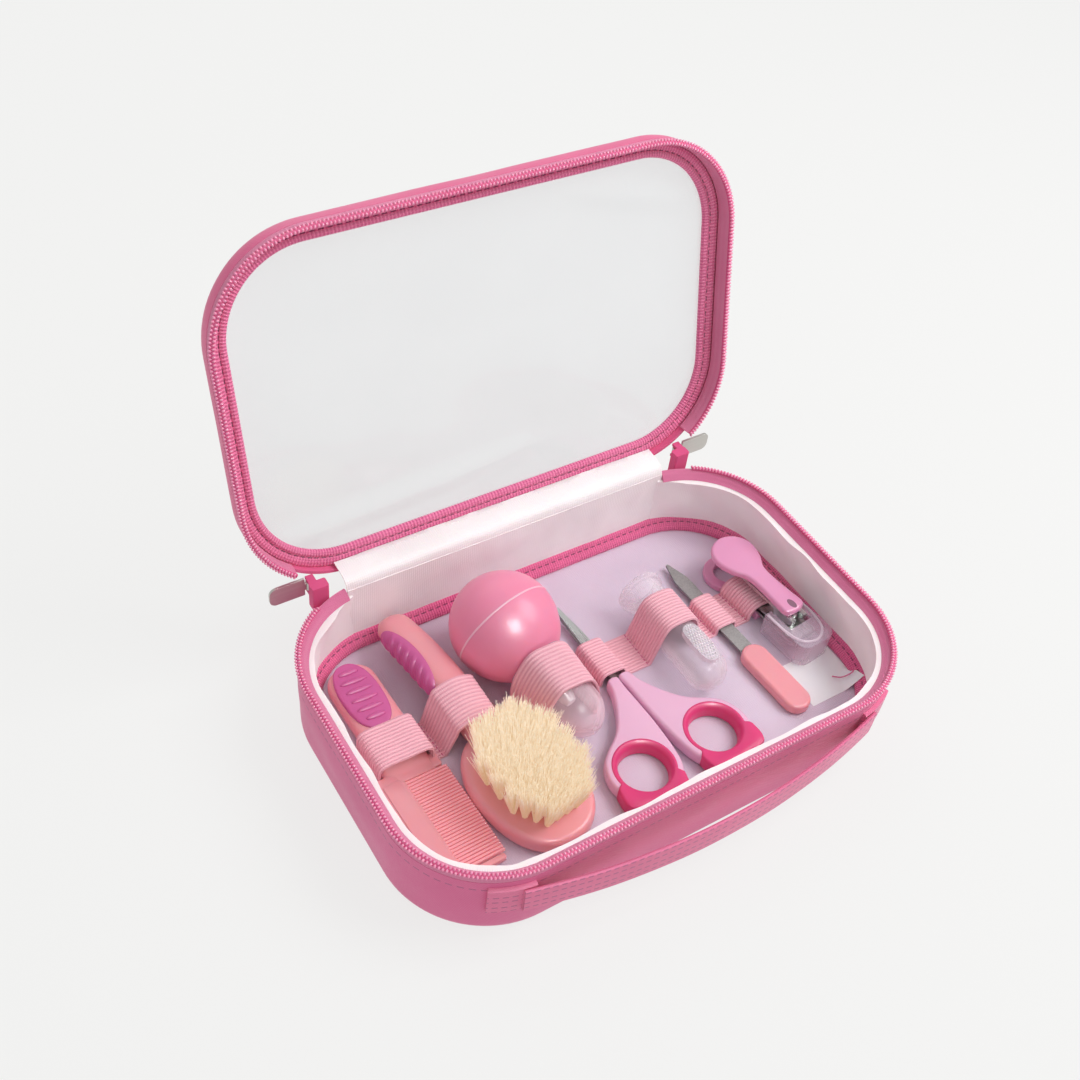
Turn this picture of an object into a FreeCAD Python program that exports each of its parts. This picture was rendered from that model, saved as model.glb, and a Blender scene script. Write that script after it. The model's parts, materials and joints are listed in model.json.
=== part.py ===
import FreeCAD, Part
import Sketcher
import math
import os

# Baby grooming kit: a zipped case with a clear-window lid, and seven tools held by a sewn elastic strap.
# Millimetres. Origin at the centre of the case's underside, +X along its width, +Y to the hinge, +Z up.

V = FreeCAD.Vector
doc = FreeCAD.newDocument("GroomingKit")
sheet = doc.addObject("Spreadsheet::Sheet", "Sizes")


class Size:
    """A length that knows its value and the sheet expression it comes from."""

    def __init__(self, value, text):
        self.value = float(value)
        self.text = text

    def _join(self, other, sign, value):
        right = other.text if isinstance(other, Size) else "(%r)" % other
        return Size(value, "(%s %s %s)" % (self.text, sign, right))

    def __add__(self, other):
        return self._join(other, "+", self.value + number(other))

    def __sub__(self, other):
        return self._join(other, "-", self.value - number(other))

    def __mul__(self, factor):
        return self._join(factor, "*", self.value * number(factor))

    def __truediv__(self, factor):
        return self._join(factor, "/", self.value / number(factor))

    def __neg__(self):
        return self * -1

    def root(self):
        return Size(math.sqrt(self.value), "sqrt(%s)" % self.text)


def number(size):
    return size.value if isinstance(size, Size) else float(size)


rows = iter(range(1, 400))


def cell(alias, value):
    row = next(rows)
    sheet.set("A%d" % row, alias)
    sheet.set("B%d" % row, str(value))
    sheet.setAlias("B%d" % row, alias)
    return Size(value, "Sizes." + alias)


zero = Size(0, "0")
corner_ratio = math.sqrt(2)

# Case
case_width = cell("case_width", 220)
case_depth = cell("case_depth", 142)
rim_height = cell("rim_height", 36.5)
corner_radius = cell("corner_radius", 41)
shell_wall = cell("shell_wall", 1.2)
shell_bottom = cell("shell_bottom", 0.8)
board_thick = cell("board_thick", 1.0)
lining_thick = cell("lining_thick", 0.6)
layer_gap = cell("layer_gap", 0.1)
seam_drop = cell("seam_drop", 5.5)
lining_drop = cell("lining_drop", 1.0)
base_round = cell("base_round", 2.5)
binding_width = cell("binding_width", 5.0)
binding_height = cell("binding_height", 5.0)
binding_slope = cell("binding_slope", 2.5)
# Zip
coil_diameter = cell("coil_diameter", 2.4)
coil_round = cell("coil_round", 0.95)
tape_thick = cell("tape_thick", 1.0)
coil_gap = cell("coil_gap", 0.15)
zip_end_inset = cell("zip_end_inset", 20)
lid_zip_gap = cell("lid_zip_gap", 3.5)
zip_end_x = case_width / 2 - zip_end_inset
lid_zip_end = zip_end_x + lid_zip_gap
slider_length = cell("slider_length", 7.0)
slider_width = cell("slider_width", 4.5)
slider_below = cell("slider_below", 7.0)
slider_above = cell("slider_above", 4.7)
slider_gap = cell("slider_gap", 0.4)
slider_round = cell("slider_round", 0.8)
ear_thick = cell("ear_thick", 1.3)
ear_edge = cell("ear_edge", 0.6)
barrel_height = cell("barrel_height", 4.0)
barrel_wall = cell("barrel_wall", 0.8)
pin_clear = cell("pin_clear", 0.1)
pull_length = cell("pull_length", 17)
pull_width = cell("pull_width", 9)
pull_thick = cell("pull_thick", 1.0)
pull_corner = cell("pull_corner", 3)
bail_radius = cell("bail_radius", 1.0)
run_clear = cell("run_clear", 0.3)
# Lid and hinge
lid_angle = cell("lid_angle", 103)
lid_depth = cell("lid_depth", 12)
lid_round = cell("lid_round", 2.0)
flange_width = cell("flange_width", 6)
flange_thick = cell("flange_thick", 0.8)
film_thick = cell("film_thick", 0.5)
lid_binding_width = cell("lid_binding_width", 7)
lid_binding_height = cell("lid_binding_height", 2.0)
hinge_reach = cell("hinge_reach", 1.0)
hinge_radius = cell("hinge_radius", 2.2)
hinge_over = cell("hinge_over", 3)
panel_over = cell("panel_over", 12)
corner_x = case_width / 2 - corner_radius
hinge_half = corner_x + hinge_over
panel_half = corner_x + panel_over
panel_corner = cell("panel_corner", 10)
panel_thick = cell("panel_thick", 0.6)
web_thick = cell("web_thick", 1.0)
# Carry handle
handle_width = cell("handle_width", 13)
handle_thick = cell("handle_thick", 1.4)
handle_low = cell("handle_low", 14.5)
handle_bow = cell("handle_bow", 11)
tab_start = cell("tab_start", 5)
tab_length = cell("tab_length", 14)
tab_near = corner_x + tab_start
tab_far = tab_near + tab_length
tab_thick = cell("tab_thick", 1.4)
strap_lap = cell("strap_lap", 5)
strap_end_x = tab_near + strap_lap
# Elastic strap
strap_y = cell("strap_y", 11)
strap_width = cell("strap_width", 18.5)
elastic_thick = cell("elastic_thick", 0.9)
floor_gap = cell("floor_gap", 0.1)

floor_top = shell_bottom + board_thick + lining_thick
shell_top = rim_height - seam_drop
lining_inset = shell_wall + layer_gap
inner_inset = lining_inset + lining_thick
doc.recompute()


class Piece:
    """One solid made by sketches and features in a body of its own."""

    def __init__(self, label):
        self.label = label
        self.body = doc.addObject("PartDesign::Body", label)
        self.body.Label = label
        self.count = 0

    def feature(self, kind):
        self.count += 1
        return self.body.newObject(kind, "%s_%d" % (self.label, self.count))

    def sketch(self, plane="XY", offset=zero):
        sketch = self.feature("Sketcher::SketchObject")
        base = [f for f in self.body.Origin.OriginFeatures if f.Role == plane + "_Plane"][0]
        sketch.AttachmentSupport = [(base, "")]
        sketch.MapMode = "FlatFace"
        sketch.setExpression("AttachmentOffset.Base.z", offset.text)
        return sketch

    def finish(self, feature, **sizes):
        for name, size in sizes.items():
            feature.setExpression(name, size.text)
        doc.recompute()
        if "Invalid" in feature.State:
            raise RuntimeError("failed: " + feature.Name)
        return feature

    def pad(self, sketch, length, back=False, middle=False):
        pad = self.feature("PartDesign::Pad")
        pad.Profile = sketch
        pad.Reversed = back
        pad.Midplane = middle
        return self.finish(pad, Length=length)

    def pocket(self, sketch, length, back=False, middle=False):
        before = self.body.Shape.Volume
        pocket = self.feature("PartDesign::Pocket")
        pocket.Profile = sketch
        pocket.Reversed = back
        pocket.Midplane = middle
        self.finish(pocket, Length=length)
        if self.body.Shape.Volume >= before:
            raise RuntimeError(self.label + ": a pocket cuts nothing")
        return pocket

    def revolve(self, sketch, axis="V_Axis"):
        turn = self.feature("PartDesign::Revolution")
        turn.Profile = sketch
        turn.ReferenceAxis = (sketch, [axis])
        turn.Angle = 360
        return self.finish(turn)

    def loft(self, sections):
        loft = self.feature("PartDesign::AdditiveLoft")
        loft.Profile = sections[0]
        loft.Sections = sections[1:]
        loft.Ruled = True
        return self.finish(loft)

    def dress(self, kind, chosen):
        names = []
        for index, edge in enumerate(self.body.Shape.Edges):
            if chosen(edge):
                names.append("Edge%d" % (index + 1))
        tip = self.body.Tip
        dressed = self.feature(kind)
        dressed.Base = (tip, names)
        return dressed

    def fillet(self, size, chosen):
        return self.finish(self.dress("PartDesign::Fillet", chosen), Radius=size)

    def chamfer(self, size, chosen):
        return self.finish(self.dress("PartDesign::Chamfer", chosen), Size=size)

    def pattern(self, feature, axis, length, count):
        pattern = self.feature("PartDesign::LinearPattern")
        pattern.Originals = [feature]
        base = [f for f in self.body.Origin.OriginFeatures if f.Role == axis + "_Axis"][0]
        pattern.Direction = (base, [""])
        pattern.setExpression("Length", length.text)
        pattern.Occurrences = count
        self.body.Tip = pattern
        doc.recompute()
        return pattern

    def place(self, frame):
        frame(self.body)
        return self


def pin_point(sketch, edge, end, point):
    for kind, size in (("DistanceX", point[0]), ("DistanceY", point[1])):
        index = sketch.addConstraint(Sketcher.Constraint(kind, edge, end, size.value))
        sketch.setExpression("Constraints[%d]" % index, size.text)


def set_radius(sketch, edge, radius):
    index = sketch.addConstraint(Sketcher.Constraint("Radius", edge, radius.value))
    sketch.setExpression("Constraints[%d]" % index, radius.text)


def flat(point):
    return V(point[0].value, point[1].value, 0)


def arc_between(first, last, radius):
    """The smaller arc from first to last that bulges to the right of the way from one to the other."""
    start = flat(first)
    end = flat(last)
    half = (end - start).Length / 2
    across = V((end - start).y, -(end - start).x, 0).normalize()
    middle = (start + end) / 2
    rise = radius.value - math.sqrt(max(radius.value ** 2 - half ** 2, 0))
    return Part.Arc(start, middle + across * rise, end)


def outline(sketch, points, rounds=None):
    """A closed loop through points. rounds gives the radius of the edge that leaves a point, if it is an arc.
    Loops run anticlockwise, so such an arc bulges outwards, or inwards with a negative radius."""
    rounds = rounds or {}
    first = sketch.GeometryCount
    total = len(points)
    for i in range(total):
        here = points[i]
        after = points[(i + 1) % total]
        if i not in rounds:
            sketch.addGeometry(Part.LineSegment(flat(here), flat(after)), False)
        elif rounds[i].value > 0:
            sketch.addGeometry(arc_between(here, after, rounds[i]), False)
        else:
            sketch.addGeometry(arc_between(after, here, -rounds[i]), False)
    inward = [i for i in rounds if rounds[i].value < 0]
    ends = []
    for i in range(total):
        arc = i in rounds
        # A sketch keeps every arc anticlockwise, so an inward arc has its ends the other way round.
        ends.append((2, 1) if arc and i in inward else (1, 2))
    for i in range(total):
        after = (i + 1) % total
        joined = Sketcher.Constraint("Coincident", first + i, ends[i][1], first + after, ends[after][0])
        sketch.addConstraint(joined)
        pin_point(sketch, first + i, ends[i][0], points[i])
    for i, radius in rounds.items():
        set_radius(sketch, first + i, -radius if i in inward else radius)


def rounded_loop(sketch, width, depth, radius, middle=(zero, zero)):
    """A rounded rectangle about a middle point."""
    x, y = middle
    a = width / 2
    b = depth / 2
    points = [
        (x - a + radius, y - b), (x + a - radius, y - b), (x + a, y - b + radius), (x + a, y + b - radius),
        (x + a - radius, y + b), (x - a + radius, y + b), (x - a, y + b - radius), (x - a, y - b + radius)]
    outline(sketch, points, {1: radius, 3: radius, 5: radius, 7: radius})


def stadium(sketch, width, low, high):
    """A slot along Y with round ends."""
    r = width / 2
    quarter = [(-r, low + r), (zero, low), (r, low + r), (r, high - r), (zero, high), (-r, high - r)]
    outline(sketch, quarter, {0: r, 1: r, 3: r, 4: r})


def rectangle(sketch, x0, y0, x1, y1):
    outline(sketch, [(x0, y0), (x1, y0), (x1, y1), (x0, y1)])


def circle(sketch, middle, radius):
    index = sketch.addGeometry(Part.Circle(flat(middle), V(0, 0, 1), radius.value), False)
    pin_point(sketch, index, 3, middle)
    set_radius(sketch, index, radius)


def oval(sketch, middle, across, along, end_radius):
    """Four tangent arcs: small ones of end_radius at the ends along Y, large ones at the sides."""
    x, y = middle
    reach = along - end_radius
    side = (across * across + reach * reach - end_radius * end_radius) / ((across - end_radius) * 2)
    px = end_radius * (side - across) / (side - end_radius)
    py = reach + end_radius * reach / (side - end_radius)
    points = [(x - px, y - py), (x + px, y - py), (x + px, y + py), (x - px, y + py)]
    outline(sketch, points, {0: end_radius, 1: side, 2: end_radius, 3: side})


def at(x, y, z, yaw=zero):
    """Places a piece at a point, turned about Z by yaw degrees."""
    def frame(item):
        item.Placement = FreeCAD.Placement(V(0, 0, 0), FreeCAD.Rotation(V(0, 0, 1), yaw.value))
        for name, size in (("x", x), ("y", y), ("z", z)):
            item.setExpression("Placement.Base." + name, size.text)
        if yaw is not zero:
            item.setExpression("Placement.Rotation.Angle", yaw.text)
    return frame


def vertical(edge):
    return abs(edge.tangentAt(edge.FirstParameter).z) > 0.99 and edge.Curve.TypeId == "Part::GeomLine"


def at_height(z):
    def chosen(edge):
        box = edge.BoundBox
        return abs(box.ZMin - z.value) < 1e-4 and abs(box.ZMax - z.value) < 1e-4
    return chosen


def ring_piece(label, outer_inset, inner_inset, low, high, middle=(zero, zero)):
    """A band that follows the case's plan, between two insets and two heights."""
    piece = Piece(label)
    sketch = piece.sketch("XY", low)
    for inset in (outer_inset, inner_inset):
        rounded_loop(sketch, case_width - inset * 2, case_depth - inset * 2, corner_radius - inset, middle)
    piece.pad(sketch, high - low)
    return piece


def plan_plate(label, inset, low, high, middle=(zero, zero)):
    piece = Piece(label)
    sketch = piece.sketch("XY", low)
    rounded_loop(sketch, case_width - inset * 2, case_depth - inset * 2, corner_radius - inset, middle)
    piece.pad(sketch, high - low)
    return piece


def hollow(piece, inset, low, high):
    sketch = piece.sketch("XY", low)
    rounded_loop(sketch, case_width - inset * 2, case_depth - inset * 2, corner_radius - inset)
    piece.pocket(sketch, high - low, back=True)


# Case body
shell = plan_plate("case_shell", zero, zero, shell_top)
shell.fillet(base_round, at_height(zero))
hollow(shell, shell_wall, shell_bottom, shell_top)

board = plan_plate("base_board", lining_inset + base_round, shell_bottom, shell_bottom + board_thick)

lining_low = shell_bottom + board_thick
lining_top = shell_top - lining_drop
lining = plan_plate("case_lining", lining_inset, lining_low, lining_top)
hollow(lining, inner_inset, floor_top, lining_top)

binding_top = floor_top + binding_height
binding_inset = inner_inset + layer_gap
binding = ring_piece("floor_binding", binding_inset, binding_inset + binding_width, floor_top, binding_top)


def inner_edge(inset, z):
    half_x = case_width.value / 2 - inset.value + 1e-3
    half_y = case_depth.value / 2 - inset.value + 1e-3

    def chosen(edge):
        box = edge.BoundBox
        inside = max(-box.XMin, box.XMax) < half_x and max(-box.YMin, box.YMax) < half_y
        return inside and at_height(z)(edge)
    return chosen


binding.chamfer(binding_slope, inner_edge(binding_inset + binding_width, binding_top))

panel_back = case_depth / 2 - inner_inset - layer_gap
panel = Piece("hinge_panel")
sketch = panel.sketch("XY", binding_top)
rectangle(sketch, panel_corner - panel_half, panel_back - panel_thick, panel_half - panel_corner, panel_back)
panel.pad(sketch, rim_height - hinge_radius - binding_top)

hinge_y = case_depth / 2 + hinge_reach
web_front = case_depth / 2 - shell_wall
strip = Piece("hinge_strip")
sketch = strip.sketch("YZ")
circle(sketch, (hinge_y, rim_height), hinge_radius)
strip.pad(sketch, hinge_half * 2, middle=True)
sketch = strip.sketch("YZ")
rectangle(sketch, web_front, shell_top, web_front + web_thick, rim_height)
strip.pad(sketch, hinge_half * 2, middle=True)

# Zip, as two bands that end at the hinge
tape_in = layer_gap + tape_thick
coil_out = layer_gap + tape_thick / 2 - coil_diameter / 2
coil_low = rim_height - coil_gap - coil_diameter


def open_back(piece, low, high, middle_y, end):
    sketch = piece.sketch("XY", low)
    rectangle(sketch, -end, middle_y, end, middle_y + case_depth)
    piece.pocket(sketch, high - low, back=True)


def zip_band(label, low, high, out, width, middle, end, soft):
    band = ring_piece(label, out, out + width, low, high, middle)
    if soft:
        level = (at_height(low), at_height(high))
        band.fillet(coil_round, lambda edge: level[0](edge) or level[1](edge))
    open_back(band, low, high, middle[1], end)
    return band


here = (zero, zero)
zip_band("zip_tape_case", shell_top, coil_low, layer_gap, tape_thick, here, zip_end_x, False)
zip_band("zip_coil_case", coil_low, coil_low + coil_diameter, coil_out, coil_diameter, here, zip_end_x, True)

# Zip sliders by the hinge corners, each with a pull on a pin
corner_y = case_depth / 2 - corner_radius
slider_far = zip_end_x - slider_gap
slider_near = slider_far - slider_length
lean = slider_near - corner_x
slider_front = corner_y + (corner_radius * corner_radius - lean * lean).root() + slider_gap
slider_back = slider_front + slider_width
pin_y = slider_back + bail_radius + barrel_wall + run_clear
pin_x = slider_far - bail_radius * 2
pull_z = rim_height + slider_above - ear_thick - run_clear - barrel_height / 2


def zip_slider(label, side):
    slider = Piece(label)
    low = rim_height - slider_below
    sketch = slider.sketch("XY", low)
    near, far = slider_near * side, slider_far * side
    west, east = (near, far) if side > 0 else (far, near)
    rectangle(sketch, west, slider_front, east, slider_back)
    slider.pad(sketch, slider_below + slider_above)
    slider.fillet(slider_round, vertical)
    for low in (pull_z - barrel_height / 2 - run_clear - ear_thick, pull_z + barrel_height / 2 + run_clear):
        sketch = slider.sketch("XY", low)
        reach = bail_radius + ear_edge
        middle = pin_x * side
        rectangle(sketch, middle - reach, slider_back - slider_round, middle + reach, pin_y + reach)
        slider.pad(sketch, ear_thick)
    sketch = slider.sketch("XY", pull_z - barrel_height / 2 - run_clear)
    circle(sketch, (pin_x * side, pin_y), bail_radius)
    slider.pad(sketch, barrel_height + run_clear * 2)


def zip_pull(label, side):
    pull = Piece(label)
    bore = bail_radius + pin_clear
    barrel = bore + barrel_wall
    sketch = pull.sketch("XY", pull_z - barrel_height / 2)
    circle(sketch, (pin_x * side, pin_y), barrel)
    pull.pad(sketch, barrel_height)
    # The wide part starts past the ears' corners, so that it clears them as it swings.
    start = pin_x + (bail_radius + ear_edge) * corner_ratio + run_clear
    end = pin_x + pull_length
    # The XZ plane faces -Y, so its offset is taken backwards.
    sketch = pull.sketch("XZ", -pin_y)
    half = pull_width / 2
    soft = pull_corner
    neck = barrel_height / 2 - run_clear
    if side > 0:
        points = [(pin_x, pull_z - neck), (start, pull_z - neck), (start, pull_z - half),
                  (end - soft, pull_z - half), (end, pull_z - half + soft), (end, pull_z + half - soft),
                  (end - soft, pull_z + half), (start, pull_z + half), (start, pull_z + neck),
                  (pin_x, pull_z + neck)]
        rounds = {3: soft, 5: soft}
    else:
        points = [(-start, pull_z - half), (-start, pull_z - neck), (-pin_x, pull_z - neck),
                  (-pin_x, pull_z + neck), (-start, pull_z + neck), (-start, pull_z + half),
                  (soft - end, pull_z + half),
                  (-end, pull_z + half - soft), (-end, pull_z - half + soft), (soft - end, pull_z - half)]
        rounds = {6: soft, 8: soft}
    outline(sketch, points, rounds)
    pull.pad(sketch, pull_thick, middle=True)
    sketch = pull.sketch("XY", pull_z - barrel_height / 2)
    circle(sketch, (pin_x * side, pin_y), bore)
    pull.pocket(sketch, barrel_height, back=True)


for name, side in (("left", -1), ("right", 1)):
    zip_slider("zip_slider_" + name, side)
    zip_pull("zip_pull_" + name, side)

# Carry handle on the front wall: two sewn end tabs and a bowed webbing strap
handle_top = handle_low + handle_width


def handle_tab(label, side):
    band = ring_piece(label, -layer_gap - tab_thick, -layer_gap, handle_low, handle_top)
    west, east = (tab_near, tab_far) if side > 0 else (-tab_far, -tab_near)
    for x0, x1 in ((-case_width, west), (east, case_width)):
        sketch = band.sketch("XY", handle_low)
        rectangle(sketch, x0, -case_depth, x1, case_depth)
        band.pocket(sketch, handle_width, back=True)
    sketch = band.sketch("XY", handle_low)
    rectangle(sketch, -case_width, zero, case_width, case_depth)
    band.pocket(sketch, handle_width, back=True)


handle_tab("handle_tab_left", -1)
handle_tab("handle_tab_right", 1)

lean = strap_end_x - corner_x
tab_radius = corner_radius + layer_gap + tab_thick
tab_face = corner_y + (tab_radius * tab_radius - lean * lean).root()
strap_in = -tab_face - run_clear
bow_out = -case_depth / 2 - handle_bow
rise = strap_in - bow_out
strap_radius = (strap_end_x * strap_end_x + rise * rise) / (rise * 2)
handle = Piece("handle_strap")
sketch = handle.sketch("XY", handle_low)
outer_end = strap_in - handle_thick
points = [(-strap_end_x, outer_end), (strap_end_x, outer_end), (strap_end_x, strap_in),
          (-strap_end_x, strap_in)]
outline(sketch, points, {0: strap_radius, 2: -strap_radius})
handle.pad(sketch, handle_width)

# Lid, drawn shut in a frame on the hinge line, then opened
lid_middle = (zero, -hinge_reach - case_depth / 2)
film_low = lid_depth - flange_thick - layer_gap - film_thick
lid_binding_top = film_low - layer_gap


def opened(item):
    item.Placement = FreeCAD.Placement(V(0, 0, 0), FreeCAD.Rotation(V(-1, 0, 0), lid_angle.value))
    item.setExpression("Placement.Base.y", hinge_y.text)
    item.setExpression("Placement.Base.z", rim_height.text)
    item.setExpression("Placement.Rotation.Angle", lid_angle.text)


wall = ring_piece("lid_wall", zero, shell_wall, seam_drop, lid_depth - flange_thick, lid_middle)
sketch = wall.sketch("XY", lid_depth - flange_thick)
for inset in (zero, flange_width):
    rounded_loop(sketch, case_width - inset * 2, case_depth - inset * 2, corner_radius - inset, lid_middle)
wall.pad(sketch, flange_thick)


def outer_top(edge):
    box = edge.BoundBox
    level = abs(box.ZMin - lid_depth.value) < 1e-4 and abs(box.ZMax - lid_depth.value) < 1e-4
    reach = case_width.value / 2 - flange_width.value
    back = lid_middle[1].value + case_depth.value / 2 - flange_width.value
    front = lid_middle[1].value - case_depth.value / 2 + flange_width.value
    wide = box.XMax > reach + 0.01 or box.XMin < -reach - 0.01
    deep = box.YMax > back + 0.01 or box.YMin < front - 0.01
    return level and (wide or deep)


wall.fillet(lid_round, outer_top)
wall.place(opened)
film = plan_plate("lid_window", lining_inset, film_low, film_low + film_thick, lid_middle)
film.place(opened)
edging = ring_piece("lid_binding", lining_inset, lining_inset + lid_binding_width,
                    lid_binding_top - lid_binding_height, lid_binding_top, lid_middle)
edging.place(opened)
lid_strip = Piece("lid_hinge_strip")
sketch = lid_strip.sketch("YZ")
lid_web = -hinge_reach - shell_wall
rectangle(sketch, lid_web, hinge_radius + run_clear, lid_web + web_thick, seam_drop)
lid_strip.pad(sketch, hinge_half * 2, middle=True)
lid_strip.place(opened)
lid_coil_top = coil_gap + coil_diameter
tape = zip_band("zip_tape_lid", lid_coil_top, seam_drop, layer_gap, tape_thick, lid_middle, lid_zip_end,
                False)
tape.place(opened)
coil = zip_band("zip_coil_lid", coil_gap, lid_coil_top, coil_out, coil_diameter, lid_middle, lid_zip_end,
                True)
coil.place(opened)

# Tools: each is drawn lying along Y in a frame of its own, with its front to -Y, and then set on the floor
tool_z = floor_top + floor_gap


def tilted(x, y, z, yaw, dip):
    """Places a piece at a point, dipped towards its front and then turned about Z."""
    turn = FreeCAD.Rotation(V(0, 0, 1), yaw.value) * FreeCAD.Rotation(V(1, 0, 0), dip.value)

    def frame(item):
        item.Placement = FreeCAD.Placement(V(0, 0, 0), turn)
        for name, size in (("x", x), ("y", y), ("z", z)):
            item.setExpression("Placement.Base." + name, size.text)
    return frame


# Comb
comb_frame = at(cell("comb_x", -83.7), cell("comb_y", 0), tool_z, cell("comb_yaw", 1.5))
comb_handle_width = cell("comb_handle_width", 20)
comb_handle_end = cell("comb_handle_end", 54)
comb_handle_thick = cell("comb_handle_thick", 9)
comb_handle_round = cell("comb_handle_round", 3)
comb_head_length = cell("comb_head_length", 48.5)
comb_head_width = cell("comb_head_width", 28)
comb_head_thick = cell("comb_head_thick", 4)
comb_spine = cell("comb_spine", 10.5)
tooth_width = cell("tooth_width", 0.8)
tooth_thick = cell("tooth_thick", 2.4)
tooth_count = 31
guard_width = cell("guard_width", 2.4)
grip_depth = cell("grip_depth", 1.6)
grip_clear = cell("grip_clear", 0.1)
grip_proud = cell("grip_proud", 0.4)
comb_grip_width = cell("comb_grip_width", 16)
comb_grip_low = cell("comb_grip_low", 21.5)
comb_grip_high = cell("comb_grip_high", 52)
ridge_width = cell("ridge_width", 1.6)
ridge_height = cell("ridge_height", 0.6)
ridge_count = 5

comb = Piece("comb_body")
sketch = comb.sketch()
stadium(sketch, comb_handle_width, -comb_handle_width / 2, comb_handle_end)
comb.pad(sketch, comb_handle_thick)
ends = (at_height(zero), at_height(comb_handle_thick))
comb.fillet(comb_handle_round, lambda edge: ends[0](edge) or ends[1](edge))
half = comb_head_width / 2
sketch = comb.sketch()
rectangle(sketch, -half, -comb_head_length, comb_spine - half, zero)
comb.pad(sketch, comb_head_thick)
tooth_low = (comb_head_thick - tooth_thick) / 2
for y in (-comb_head_length, -guard_width):
    sketch = comb.sketch("XY", tooth_low)
    rectangle(sketch, -half, y, half, y + guard_width)
    comb.pad(sketch, tooth_thick)
sketch = comb.sketch("XY", tooth_low)
first_tooth = guard_width + tooth_width - comb_head_length
rectangle(sketch, -half + comb_spine / 2, first_tooth, half, first_tooth + tooth_width)
tooth = comb.pad(sketch, tooth_thick)
tooth_run = comb_head_length - guard_width * 2 - tooth_width * 3
comb.pattern(tooth, "Y", tooth_run, tooth_count)
sketch = comb.sketch("XY", comb_handle_thick - grip_depth)
stadium(sketch, comb_grip_width, comb_grip_low, comb_grip_high)
comb.pocket(sketch, grip_depth, back=True)
comb.place(comb_frame)

grip = Piece("comb_grip")
sketch = grip.sketch("XY", comb_handle_thick - grip_depth)
stadium(sketch, comb_grip_width - grip_clear * 2, comb_grip_low + grip_clear, comb_grip_high - grip_clear)
grip.pad(sketch, grip_depth + grip_proud)
sketch = grip.sketch("XY", comb_handle_thick + grip_proud - ridge_height)
reach = comb_grip_width / 3
first = comb_grip_low + comb_grip_width / 2
rectangle(sketch, -reach, first - ridge_width / 2, reach, first + ridge_width / 2)
ridge = grip.pad(sketch, ridge_height * 2)
grip.pattern(ridge, "Y", comb_grip_high - comb_grip_low - comb_grip_width, ridge_count)
grip.place(comb_frame)

# Hair brush
brush_frame = at(cell("brush_x", -52.5), cell("brush_y", 5), tool_z, cell("brush_yaw", 8))
brush_head_y = cell("brush_head_y", -31.5)
brush_head_across = cell("brush_head_across", 20.5)
brush_head_along = cell("brush_head_along", 29)
brush_head_end = cell("brush_head_end", 16)
brush_head_thick = cell("brush_head_thick", 8)
brush_head_round = cell("brush_head_round", 2.5)
brush_handle_width = cell("brush_handle_width", 17)
brush_handle_end = cell("brush_handle_end", 60)
brush_handle_lift = cell("brush_handle_lift", 5.5)
brush_handle_tail = cell("brush_handle_tail", 15.5)
brush_handle_start = cell("brush_handle_start", 12)
brush_arch_top = cell("brush_arch_top", 5.9)
brush_arch_under = cell("brush_arch_under", 5.7)
brush_handle_round = cell("brush_handle_round", 3.4)
brush_neck = cell("brush_neck", 7.2)
neck_half = cell("neck_half", 7)
side_grip_length = cell("side_grip_length", 34)
side_grip_width = cell("side_grip_width", 6.5)
side_grip_corner = cell("side_grip_corner", 2.7)
side_grip_y = cell("side_grip_y", 35)
side_grip_z = cell("side_grip_z", 13.8)
bristle_across = cell("bristle_across", 15.5)
bristle_along = cell("bristle_along", 23)
bristle_end = cell("bristle_end", 11.6)
bristle_flare = cell("bristle_flare", 3.5)
bristle_height = cell("bristle_height", 19)



def arched(run, rise, sag):
    """Radius of an arc over a chord that covers run and rise, with that sag."""
    return (run * run / 4 + rise * rise / 4 + sag * sag) / (sag * 2)


def handle_edge(edge):
    """The upper long edges of the brush's arched handle, and the upright and upper edges of its tail."""
    side = brush_handle_width.value / 2
    box = edge.BoundBox
    on_side = abs(abs(box.XMin) - side) < 1e-4 and abs(box.XMax - box.XMin) < 1e-4
    on_tail = box.YMin > brush_handle_end.value - 1e-4
    high = box.ZMin > brush_handle_start.value - 1e-4
    return (on_side and (high or on_tail)) or (on_tail and high)


brush = Piece("brush_body")
sketch = brush.sketch()
oval(sketch, (zero, brush_head_y), brush_head_across, brush_head_along, brush_head_end)
brush.pad(sketch, brush_head_thick)
head_ends = (at_height(zero), at_height(brush_head_thick))
brush.fillet(brush_head_round, lambda edge: head_ends[0](edge) or head_ends[1](edge))
sketch = brush.sketch("XY", brush_head_round)
rectangle(sketch, -neck_half, -brush_neck * 2, neck_half, brush_neck)
brush.pad(sketch, brush_head_thick - brush_head_round * 2)
sketch = brush.sketch("YZ")
run = brush_handle_end + brush_neck
top_drop = brush_handle_tail - brush_handle_start
arch = [(-brush_neck, zero), (brush_handle_end, brush_handle_lift), (brush_handle_end, brush_handle_tail),
        (-brush_neck, brush_handle_start)]
outline(sketch, arch, {0: -arched(run, brush_handle_lift, brush_arch_under),
                       2: arched(run, top_drop, brush_arch_top)})
brush.pad(sketch, brush_handle_width, middle=True)
brush.fillet(brush_handle_round, handle_edge)
sketch = brush.sketch("YZ", -brush_handle_width / 2)
rounded_loop(sketch, side_grip_length, side_grip_width, side_grip_corner, (side_grip_y, side_grip_z))
brush.pocket(sketch, grip_depth, back=True)
brush.place(brush_frame)

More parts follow.
